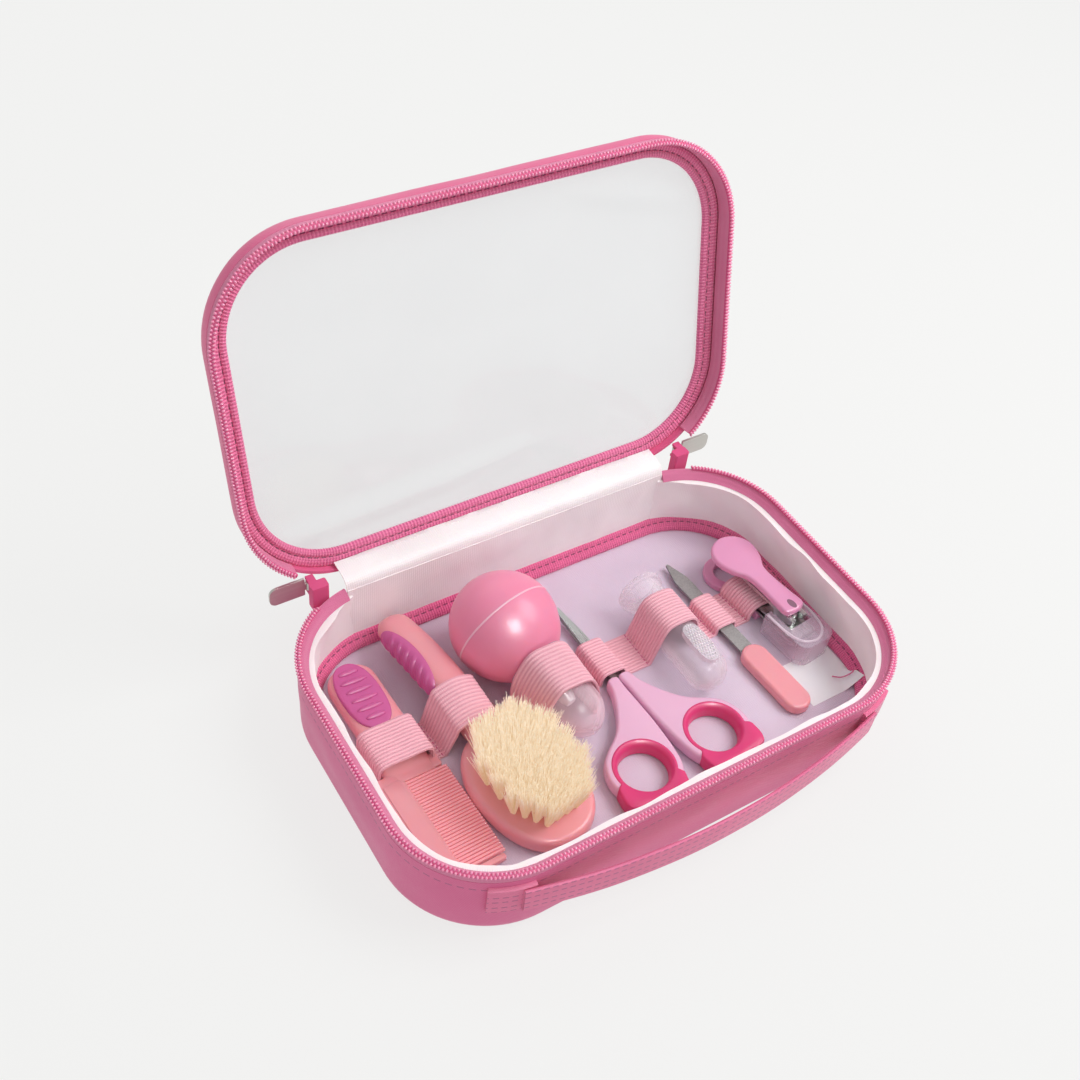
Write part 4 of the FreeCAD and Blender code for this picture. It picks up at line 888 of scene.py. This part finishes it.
# Handle
def strap_half(name, sign):
    """One half of the carry strap, from its sewn end to the middle."""
    radius, end, middle, thick, edge = 305.5, 79.0, -82.0, 1.4, 0.5
    rows = []
    for i in range(31):
        x = sign * end * (1 - i / 30)
        back = middle + radius - sqrt(radius ** 2 - x ** 2)
        front, core = back - thick, back - thick / 2
        twist = 0.35 * ripple(x / 28, 2.0, 6.0)
        low, high = 14.5 + twist, 27.5 + twist
        foot, tall = low + edge, high - low - 2 * edge
        row = [(x, front, foot)]
        row += [(x, front - 0.15 * sin(pi * k / 8), foot + tall * k / 8) for k in range(1, 8)]
        row += [(x, front, high - edge), (x, core, high), (x, back, high - edge)]
        row += [(x, back, foot + tall * k / 4) for k in (3, 2, 1)]
        row += [(x, back, foot), (x, core, low)]
        rows.append(row)
    strap = solid(name, rows, 50)
    dress(strap, WEBBING, None, "webbing", *(["handle_strap"] if sign < 0 else []))
    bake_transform(strap)


def handle_tab(name, sign, node):
    """The sewn end of the strap, folded on the front corner."""
    path = [p for p in PLAN if p[1] < 0 and 72.5 <= sign * p[0] <= 89.5]
    profile = [(0.2, 13.8), (-1.0, 13.9), (-1.7, 14.4), (-1.8, 17), (-1.8, 21), (-1.8, 25), (-1.7, 27.6),
               (-1.0, 28.1), (0.2, 28.2)]
    dress(band(name, profile, 50, path), WEBBING, "case", "webbing", node)


case_wall()
lining_wall()
floor_cloth()
floor_roll()
zip_half("case", on_case, "case", 31.0, 34.6, 31.4, "zip_tape_case", "zip_coil_case")
zip_half("lid", on_lid, "lid", 5.5, 1.7, 7.6, "zip_tape_lid", "zip_coil_lid")
hinge_cloth()
lid_cloth()
strap_half("handle_strap_left", -1)
strap_half("handle_strap_right", 1)
handle_tab("handle_tab_left_cloth", -1, "handle_tab_left")
handle_tab("handle_tab_right_cloth", 1, "handle_tab_right")


# Elastic loops, each as (tool, roundness of the top, size at the back, size at the front). A size is
# (middle, half width at the foot, half width and height of the belly, half width of the crown, height).
LOOP_FRONT, LOOP_FLOOR, LOOP_THICK, BULB_SHIFT = 1.75, 2.45, 0.9, 10.0
LOOPS = [
    ("comb", 0.0, (-84.2, 10.9, 11.0, 4.5, 9.5, 9.5), (-83.75, 10.9, 11.0, 4.5, 9.5, 9.5)),
    ("brush", 0.2, (-55.6, 12.6, 9.0, 14.5, 7.4, 19.6), (-53.6, 13.0, 9.0, 9.5, 7.6, 14.8)),
    ("aspirator", 0.2, (-20.6, 12.6, 13.3, 15.2, 8.5, 30.4), (-17.0, 11.4, 12.0, 11.2, 7.5, 24.9)),
    ("scissor", 0.0, (9.2, 5.5, 5.4, 3.0, 4.2, 5.8), (10.1, 5.5, 5.4, 3.0, 4.2, 5.8)),
    ("toothbrush", 0.2, (41.5, 12.4, 9.8, 9.3, 6.8, 19.8), (41.5, 12.4, 9.8, 9.3, 6.8, 19.8)),
    ("file", 0.0, (67.0, 4.5, 4.4, 2.0, 3.8, 4.0), (67.9, 4.5, 4.4, 2.0, 3.8, 4.0)),
    ("clipper", 0.0, (87.7, 8.6, 8.5, 3.5, 5.7, 7.2), (89.6, 8.6, 8.5, 3.5, 5.7, 7.2)),
]


def strap_shift(x):
    """How far the bulb pushes the strap to the front, at a place across the case."""
    return BULB_SHIFT * (ease((x + 42) / 9) - ease((x + 6) / 8))


def loop_line(size, round_top, left, right):
    """The underside of a loop across the case, as (x, z), from its left foot to its right one."""
    middle, base, belly, belly_z, crown, height = size
    drop = round_top * crown
    top = crown * (1 - drop / 40)
    left_foot, right_foot = (min(2.5, 0.5 * gap) for gap in (middle - base - left, right - middle - base))
    shape = [(left, 0), (middle - base - left_foot, 0), (middle - base, 0.3), (middle - belly, belly_z),
             (middle - top, height - drop), (middle, height + 0.4), (middle + top, height - drop),
             (middle + belly, belly_z), (middle + base, 0.3), (middle + base + right_foot, 0), (right, 0)]
    return curve_through([(x, z + LOOP_FLOOR, 0) for x, z in shape], 7)


def elastic_loop(k):
    """One loop of the strap. Its feet meet those of its neighbours, and its cords are modelled."""
    name, round_top, *sizes = LOOPS[k]
    lines = []
    for last, size in enumerate(sizes):
        left = size[0] - size[1] - (6.0 if k == 0 else 2.6)
        right = size[0] + size[1] + 4.0
        if k + 1 < len(LOOPS):
            after = LOOPS[k + 1][2 + last]
            right = max(after[0] - after[1] - 2.7, size[0] + size[1] + 2.6)
        lines.append(loop_line(size, round_top, left, right))
    back, front = lines
    fine = CORDS * 4
    last = len(back) - 1
    rows = []
    for i in range(last + 1):
        shift = strap_shift(front[i].lerp(back[i], 0.5).x)
        row, under = [], []
        for j in range(fine + 1):
            f = j / fine
            y = LOOP_FRONT + LOOP_WIDTH * f - shift
            here = front[i].lerp(back[i], f)
            turn = front[min(i + 1, last)].lerp(back[min(i + 1, last)], f)
            turn = (turn - front[max(i - 1, 0)].lerp(back[max(i - 1, 0)], f)).normalized()
            off = LOOP_THICK - 0.3 + 0.34 * abs(sin(pi * CORDS * f)) ** 0.7
            row.append((here.x - turn.y * off, y, here.y + turn.x * off))
            if j % 8 == 0:
                under.append((here.x, y, here.y))
        rows.append(row + under[::-1])
    across = [LOOP_WIDTH * MM * j / fine for j in range(fine + 1)]
    web = solid("elastic_" + name + "_web", rows, across=across)
    dress(web, ELASTIC, "case", "elastic", "elastic_" + name)
    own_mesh(web)


def foot_stitches():
    """Dashed rows of thread that hold each loop's feet down."""
    points, faces = [], []
    top = LOOP_FLOOR + LOOP_THICK
    box = [(-1, -1, -1), (1, -1, -1), (1, 1, -1), (-1, 1, -1),
           (-0.6, -0.8, 1), (0.6, -0.8, 1), (0.6, 0.8, 1), (-0.6, 0.8, 1)]
    for _, _, back, front in LOOPS:
        for side in (-1, 1):
            for n in range(9):
                f = (n + 0.5) / 9
                near, far = (size[0] + side * (size[1] + 1.5) for size in (front, back))
                x = near * (1 - f) + far * f
                y = LOOP_FRONT + LOOP_WIDTH * f - strap_shift(x)
                dash = [(x + a * 0.24, y + b * 0.72, top + c * 0.16) for a, b, c in box]
                add_copy(points, faces, dash, BOX_SIDES)
    dress(outward(new_object("elastic_foot_stitches", points, faces)), STITCH, "case", "elastic")


for k in range(len(LOOPS)):
    elastic_loop(k)
foot_stitches()


# Tools
def tool_frame(x, y, z, yaw):
    """Where a tool's own origin lies in the case, and its turn in degrees."""
    return Matrix.Translation((x, y, z)) @ Matrix.Rotation(radians(yaw), 4, "Z")


COMB = tool_frame(-83.7, 0, 2.5, 1.5)
BRUSH = tool_frame(-52.5, 5, 2.5, 8)
ASPIRATOR = tool_frame(-25, 33, 24.3, 11) @ Matrix.Rotation(radians(12), 4, "X")
SCISSORS = tool_frame(9.8, 8, 2.5, 3)
TOOTHBRUSH = tool_frame(41.5, 31.5, 12.7, 0)
CLIPPER = tool_frame(89, 7.5, 2.5, 6)


def comb():
    """Its arched handle, spine, guards, ball-tipped teeth and ridged grip."""
    half, spine, length, guard, tooth_half, count = 14.0, 10.5, 48.5, 2.4, 0.5, 31
    stations = []
    for k in range(49):
        y = -3.0 + 57 * k / 48
        end = max(0.0, (y - 44) / 10)
        wide = 10.0 * sqrt(max(1 - end ** 2.4, 0.0))
        top = 4.1 + 4.9 * ease(y / 14)
        stations.append((y, max(wide, 0.05), 0.05 + 2 * end ** 4, top - 2.5 * end ** 4))
    handle = tube_form("comb_handle", stations, COMB, 3.2)
    dress(handle, SALMON, "comb", "salmon", "comb_body")
    inner, tip = spine - half, half - 0.7
    plate = closed_rect(-half, -length, inner, 2.5, 1.6)
    panel = closed_rect(-half + 1.6, -length + 2, inner - 1.4, -1.5, 1.0)
    pads = [("comb_spine", plate, soft_levels(0, 4.0, 0.8, 3)),
            ("comb_spine_panel", panel, soft_levels(3.4, 4.35, 0.25, 2))]
    for k, y in enumerate((-length, -guard)):
        bar = closed_rect(inner - 1, y, half - 1.2, y + guard + (4.0 if k else 0.0), 0.8)
        pads.append(("comb_guard_%d" % k, bar, soft_levels(0.7, 3.3, 0.6, 3)))
    for name, loop, levels in pads:
        dress(pad_form(name, loop, levels, COMB), SALMON, "comb", "salmon")
    points, faces, balls = [], [], []
    for k in range(count):
        y = -length + guard + 1.2 + (length - 2 * guard - 2.4) * k / (count - 1)
        tooth = [(x, y + side * tooth_half, z) for z in (1.4, 3.3)
                 for x, side in ((inner - 1, -1), (tip, -0.8), (tip, 0.8), (inner - 1, 1))]
        add_copy(points, faces, [tuple(COMB @ Vector(c)) for c in tooth], BOX_SIDES)
        balls.append(((tip, y, 2.5), (0.8, 0.68, 1.0), 0.0))
    add_copy(points, faces, *beads(balls, COMB))
    dress(smooth(outward(new_object("comb_teeth", points, faces)), 50), COMB_TEETH, "comb", "salmon")
    grip = oval_loop(-0.6, 36.5, 8.2, 16.6, 56, 2.4)
    made = pad_form("comb_grip_pad", grip, soft_levels(6.5, 9.5, 0.8, 3, crown=0.3), COMB)
    dress(made, PURPLE, "comb", "purple_grip", "comb_grip")
    ridges = [((-0.6, 25.0 + 4.6 * k, 9.7), (wide, 1.25, 1.1), -0.06)
              for k, wide in enumerate((4.2, 5.6, 5.6, 5.6, 5.6, 4.2))]
    points, faces = beads(ridges, COMB, 8, 16)
    dress(smooth(new_object("comb_grip_ridges", points, faces), 60), PURPLE, "comb", "purple_grip")


# The middle of the brush's head, along the brush
BRUSH_HEAD = -31.5


def brush_handle_at(y):
    """Half width, underside and top of the brush's arched handle."""
    t = (y + 7.2) / 67.2
    bow = 1 - (1 - 2 * t) ** 2
    low, high = 5.5 * t + 5.7 * bow, 12 + 3.5 * t + 5.9 * bow
    return 7.6 - 0.7 * t, low, high


def brush():
    """Its oval head, arched handle and wrapped grip with slanted ridges."""
    loop = oval_loop(0, BRUSH_HEAD, 20.5, 29, 72, 2.25)
    head = pad_form("brush_head", loop, soft_levels(0, 8, 2.6, 6), BRUSH)
    dress(head, SALMON, "brush", "salmon", "brush_body")
    stations = []
    for k in range(41):
        y = -9.5 + 70 * k / 40
        half, low, high = brush_handle_at(min(y, 60))
        end = max(0.0, (y - 53.5) / 7.0)
        neck = max(0.0, (-y + 2) / 11.5)
        round_off = sqrt(max(1 - end * end, 0.0)) if end else 1.0
        middle = (low + high) / 2
        reach = (high - low) / 2 * round_off
        half = half * round_off * (1 - 0.25 * neck)
        low, high = middle - reach, middle + reach
        if neck:
            low = max(low, 0.3)
            high = high - (high - 7.5) * neck ** 2
        stations.append((y, max(half, 0.05), low, max(high, low + 0.05)))
    dress(tube_form("brush_handle", stations, BRUSH, 2.5), SALMON, "brush", "salmon")
    start, length, middle, side, wrap, pitch, slant = 18.2, 34.0, 35.2, pi - 0.1, 1.08, 4.6, 2.6
    rows = []
    for i in range(129):
        y = start + length * i / 128
        off = y - middle
        half, low, high = brush_handle_at(y)
        across = sqrt(max(0.0, 1 - (off / 17.05) ** 2)) ** 0.7
        row = []
        for j in range(33):
            s = j / 16 - 1
            angle = side + s * across * wrap
            c, sn = cos(angle), sin(angle)
            lift = 0.75 * (1 - abs(s) ** 4) * min(1.0, across * 1.6) - 0.25
            stripe = max(0.0, cos(2 * pi * (off + slant * s) / pitch) - 0.35) / 0.65
            lift += 0.85 * stripe * max(0.0, 1 - (s / 0.8) ** 2) * max(0.0, 1 - (off / 16) ** 4)
            x = (half + lift) * swell(c, 0.8)
            z = (low + high) / 2 + ((high - low) / 2 + lift) * swell(sn, 0.8)
            row.append(tuple(BRUSH @ Vector((x, y, z))))
        rows.append(row)
    patch = grid("brush_grip_pad", rows)
    modify(patch, "SOLIDIFY", thickness=0.0009, offset=-1.0)
    dress(smooth(outward(patch), 60), PURPLE, "brush", "purple_grip", "brush_grip")


def bulb_seam():
    """The moulded parting line round the bulb's widest part, a raised ring painted lighter as a highlight
    on it.
    """
    radius, proud, half, steps = 21.75, 0.35, 0.42, 96
    rows = []
    for k in range(steps):
        c, s = spoke(k, steps)
        row = []
        for j in range(8):
            rise, along = spoke(j, 8)
            out = radius + proud * rise
            row.append(tuple(ASPIRATOR @ Vector((out * c, half * along, out * s))))
        rows.append(row)
    dress(solid("bulb_parting_ring", rows, around=True), SEAM_HIGHLIGHT, "bulb", "bulb_pink")


def toothbrush_pad():
    """The sleeve's pad of soft silicone points."""
    middle, across, along = -41.5, 4.0, 10.0
    shapes = []
    for row in range(13):
        for col in range(-3, 4):
            x, y = (col + 0.5 * (row % 2)) * 1.15, middle + (row - 6) * 1.5
            if (x / across) ** 2 + ((y - middle) / along) ** 2 <= 1:
                shapes.append(((x, y, 10.8), (0.36, 0.36, 0.6), 0.0))
    points, faces = beads(shapes, TOOTHBRUSH, 4, 6)
    dress(smooth(new_object("toothbrush_points", points, faces), 60), CONE, "toothbrush", "silicone")


def scissor_handles():
    """The two bows: a pale arm that flares into a ring, with a soft insert and its two-lobed foot."""
    x0, y0, ring, bore, insert_bore = 17.5, -48.5, 15.3, 11.6, 10.0
    reach = [(0, 16.4), (14, 16.8), (27, 18.7), (37, 20.0), (45, 19.0), (55, 17.0), (64, 15.6), (68, 13.2),
             (180, 13.2)]
    line = [(0.5, -8), (0.5, -14), (0.5, -24), (0.8, -36)]
    line += [(x0 + ring * cos(radians(a)), y0 + ring * sin(radians(a)))
             for a in (185, 215, 245, 275, 305, 335, 5, 35, 58)]
    line += [(17.5, -30.0), (11.5, -22.5), (7.0, -14), (5.0, -8)]
    for name, side, lean in (("a", -1, 14), ("b", 1, 5)):
        loop = closed_curve(line, 5)
        if side < 0:
            loop = [(-x, y) for x, y in loop[::-1]]
        bow = pad_form("scissor_bow_" + name, loop, soft_levels(0.1, 6.4, 1.5, 5), SCISSORS)
        clear_selection()
        bpy.ops.mesh.primitive_cylinder_add(vertices=64, radius=bore * MM, depth=0.03)
        drill = bpy.context.object
        drill.location = SCISSORS @ Vector((side * x0, y0, 3)) * MM
        modify(bow, "BOOLEAN", object=drill, operation="DIFFERENCE", solver="EXACT")
        bpy.data.objects.remove(drill)
        dress(smooth(outward(bow), 50), LILAC, "scissor_" + name, "lilac_handle", "scissor_handle_" + name)
        rows = []
        for k in range(144):
            a = 2 * pi * k / 144
            off = abs((degrees(a) - (270 + side * lean) + 180) % 360 - 180)
            out = next(r0 + (r1 - r0) * (off - a0) / (a1 - a0)
                       for (a0, r0), (a1, r1) in zip(reach, reach[1:]) if off <= a1)
            lift = 0.35 if out > 14 else 0.0
            profile = [(insert_bore, 0.5), (insert_bore, 3.2), (10.3, 4.9), (11.0, 6.1), (11.9, 6.7 + lift),
                       (out - 1.2, 6.75 + lift), (out - 0.35, 6.4 + lift), (out, 5.6), (out, 1.2),
                       (out - 0.6, 0.3), (10.6, 0.2)]
            rows.append([tuple(SCISSORS @ Vector((side * x0 + r * cos(a), y0 + r * sin(a), z)))
                         for r, z in profile])
        insert = solid("finger_insert_" + name, rows, 50, around=True)
        dress(insert, FINGER, "scissor_" + name, "finger_soft", "finger_ring_" + name)


def clipper_lever():
    """The lever's grip, with its round end and its waist, a dark disc of painted shade in its slot, and the
    bead round the catcher's rim.
    """
    side = [(-7.3, 25.5), (-10.4, 18.5), (-8.4, 10.8), (-5.2, 5.5), (-4.6, -2), (-5.2, -12), (-5.2, -18.5)]
    loop = closed_curve([(0, 28.5)] + side + [(0, -20.2)] + [(-x, y) for x, y in side[::-1]], 5)
    made = pad_form("clipper_lever_pad", loop, soft_levels(14.05, 17.5, 1.3, 4), CLIPPER)
    dress(made, CLIPPER_PINK, "lever", "clipper_pink", "clipper_lever_grip")
    # a thin dark disc on the lever top, painted shade standing for the inside of its slot
    points, faces = beads([((0, -16.6, 17.5), (1.5, 2.6, 0.12), 0.0)], CLIPPER, 8, 24)
    slot = smooth(outward(new_object("clipper_lever_slot_painted_shade", points, faces)), 60)
    dress(slot, SLOT_SHADE, "lever", "clipper_pink")
    arm = [(8.6, -13, 11.5), (8.5, -23, 11.4), (6.2, -30.5, 11.2)]
    path = curve_through([(-x, y, z) for x, y, z in arm] + [(0, -33.6, 11.0)] + arm[::-1], 8)
    rim = tube_along("catcher_rim_bead", path, 0.6, CLIPPER)
    dress(rim, CATCHER_RIM, "catcher", "catcher_clear")


def card():
    """The white card, lifted at its right edge by the floor binding, with its loose pink thread."""
    left, wide, front, deep = 76.5, 25.9, -47.0, 22.5
    rows = []
    for i in range(25):
        row = []
        for j in range(13):
            x, y = left + wide * i / 24, front + deep * j / 12
            lift = max(0.0, hypot(x - 69, y + 30) - 29.5) * min(max((-38 - y) / 4, 0.0), 1.0)
            row.append((x, y, 2.5 + 0.42 * lift + 0.03 * lift * lift))
        rows.append(row)
    sheet = grid("label_card_sheet", rows)
    modify(sheet, "SOLIDIFY", thickness=0.0002, offset=1.0)
    dress(smooth(outward(sheet), 50), CARD_FACE, "case", "card", "label_card")
    path = curve_through([(93, -39, 3.4), (96, -41.5, 3.9), (100, -42.5, 5.6), (102.5, -41.8, 7.6)], 8)
    thread = tube_along("card_thread", path, 0.28, Matrix.Identity(4), 6)
    dress(thread, STITCH, "case", "card")


def soften(name, width):
    """Rounds the edges of a CAD piece that stays in view."""
    node = nodes[name]
    weld = node.modifiers.new("weld", "WELD")
    weld.merge_threshold = 1e-6
    edge = node.modifiers.new("edge", "BEVEL")
    edge.width = width * MM
    edge.segments = 3
    edge.limit_method = "ANGLE"
    edge.angle_limit = radians(32)
    edge.harden_normals = True


comb()
brush()
bulb_seam()
toothbrush_pad()
scissor_handles()
clipper_lever()
card()

# How much the edges of a CAD piece are rounded, in millimetres
SOFT_EDGES = {
    "clipper_lower_grip": 0.8, "nail_catcher": 1.1, "file_handle": 0.6, "zip_pull_left": 0.3,
    "zip_pull_right": 0.3, "zip_slider_left": 0.4, "zip_slider_right": 0.4,
}
for name, width in SOFT_EDGES.items():
    soften(name, width)

# A hair's faces: three sides, the tip and the root
HAIR_SIDES = [(0, 1, 4, 3), (1, 2, 5, 4), (2, 0, 3, 5), (3, 4, 5), (2, 1, 0)]


def brush_tufts():
    """Natural bristle in tufts, which open out from the head's oval."""
    points, faces = [], []
    pitch, hairs, root, tip = 4.4, 150, 7.6, 26.6
    across, along, tip_across, tip_along = 14.6, 22.0, 18.0, 25.4
    for row in range(-9, 10):
        for col in range(-6, 7):
            u = (col + 0.5 * (row % 2)) * pitch / across
            v = row * pitch * 0.866 / along
            if u * u + v * v > 1:
                continue
            for _ in range(hairs):
                a, r = random.uniform(0, 6.283), 0.95 * sqrt(random.random())
                bx, by = u * across + r * cos(a), BRUSH_HEAD + v * along + r * sin(a)
                spread = 1.6 + 1.5 * random.random()
                tx = u * tip_across + spread * r * cos(a) * 1.35 + random.gauss(0, 0.75)
                ty = BRUSH_HEAD + v * tip_along + spread * r * sin(a) * 1.35 + random.gauss(0, 0.75)
                tz = tip + random.uniform(-2.0, 0.5)
                ring = [(cos(2.094 * m + a), sin(2.094 * m + a)) for m in range(3)]
                hair = [BRUSH @ Vector((x + w * c, y + w * s, z))
                        for x, y, z, w in ((bx, by, root, 0.13), (tx, ty, tz, 0.085)) for c, s in ring]
                add_copy(points, faces, hair, HAIR_SIDES)
    tufts = new_object("brush_bristle_tufts", points, faces)
    dress(tufts, BRISTLE, "brush", "natural_bristle", "brush_bristles")


brush_tufts()

# CAD pieces that stay in view or under cover as they are, with their materials
CAD_FINISH = {
    "base_board": BOARD,
    "zip_slider_left": COIL_BASE, "zip_slider_right": COIL_BASE,
    "zip_pull_left": PULL_METAL, "zip_pull_right": PULL_METAL,
    "aspirator_bulb": BULB, "aspirator_nozzle": NOZZLE, "aspirator_cone": CONE,
    "scissor_blade_a": STEEL, "scissor_blade_b": STEEL, "scissor_rivet": STEEL,
    "toothbrush_sleeve": SILICONE, "toothbrush_bristles": SOFT_PAD,
    "file_blade": FILE_STEEL, "file_handle": SALMON,
    "clipper_lower_arm": STEEL, "clipper_upper_arm": STEEL, "clipper_post": STEEL, "clipper_rivet": STEEL,
    "clipper_lower_grip": CLIPPER_PINK, "clipper_lever": STEEL,
    "nail_catcher": CATCHER,
}
for name, finish in CAD_FINISH.items():
    nodes[name].data.materials.clear()
    nodes[name].data.materials.append(finish)


# Room, lights and camera
ROOM = paint("f2f2f1")
# Each light's place, size and power
LIGHTS = {
    "key": ((0.6, -0.25, 0.85), 0.6, 7.5),
    "back": ((0.1, 0.9, 0.8), 0.7, 2.0),
    "gloss": ((-0.1, -0.7, 0.9), 0.45, 20.0),
}
# The camera, from the perspective fit: place in millimetres, yaw, pitch and roll in degrees, and
# the focal length and picture centre in pixels of the photograph
EYE, TURN = (-221.8, -243.2, 424.3), (38.41, 46.35, 8.62)
FOCAL, CENTRE, PIXELS, SENSOR = 1323, (559, 554), 1080, 36


def room():
    """A bright floor and sky, with the gloss light seen only in reflections."""
    clear_selection()
    bpy.ops.mesh.primitive_plane_add(size=6.0)
    floor = bpy.context.object
    floor.name = "room_floor"
    f = Finish("room_floor")
    glow = f.node("ShaderNodeEmission", {}, {"Color": ROOM, "Strength": 1.0})
    cloth = f.node("ShaderNodeBsdfDiffuse", {}, {"Color": ROOM})
    floor.data.materials.append(f.end(f.node("ShaderNodeMixShader", {}, {0: 0.86, 1: cloth, 2: glow})))
    world = bpy.data.worlds.new("room_world")
    bpy.context.scene.world = world
    world.use_nodes = True
    w = Graph(world.node_tree)
    seen = w.node("ShaderNodeLightPath", {}, {}, "Is Camera Ray")
    sky = w.node("ShaderNodeBackground", {}, {"Color": ROOM, "Strength": 1.0})
    fill = w.node("ShaderNodeBackground", {}, {"Color": paint("ffffff"), "Strength": 0.56})
    both = w.node("ShaderNodeMixShader", {}, {0: seen, 1: fill, 2: sky})
    w.node("ShaderNodeOutputWorld", {}, {0: both})
    for name, (place, size, power) in LIGHTS.items():
        light = bpy.data.lights.new(name + "_light", "AREA")
        light.size = size
        light.energy = power
        lamp = bpy.data.objects.new(name + "_light", light)
        bpy.context.scene.collection.objects.link(lamp)
        lamp.location = place
        lamp.visible_diffuse = name != "gloss"
        lamp.rotation_euler = (Vector((0, 0, 0.03)) - Vector(place)).to_track_quat("-Z", "Y").to_euler()


def camera():
    """The photograph's camera."""
    yaw, pitch, roll = (radians(a) for a in TURN)
    ahead = Vector((sin(yaw) * cos(pitch), cos(yaw) * cos(pitch), -sin(pitch)))
    right = Vector((cos(yaw), -sin(yaw), 0))
    up = right.cross(ahead)
    r = right * cos(roll) + up * sin(roll)
    u = up * cos(roll) - right * sin(roll)
    lens = bpy.data.cameras.new("photo_camera")
    lens.lens = FOCAL * SENSOR / PIXELS
    lens.shift_x = (PIXELS / 2 - CENTRE[0]) / PIXELS
    lens.shift_y = (CENTRE[1] - PIXELS / 2) / PIXELS
    eye = bpy.data.objects.new("photo_camera", lens)
    bpy.context.scene.collection.objects.link(eye)
    turn = Matrix((r, u, -ahead)).transposed().to_4x4()
    eye.matrix_world = Matrix.Translation(Vector(EYE) * MM) @ turn
    bpy.context.scene.camera = eye


room()
camera()
bpy.context.scene.view_settings.view_transform = "Standard"
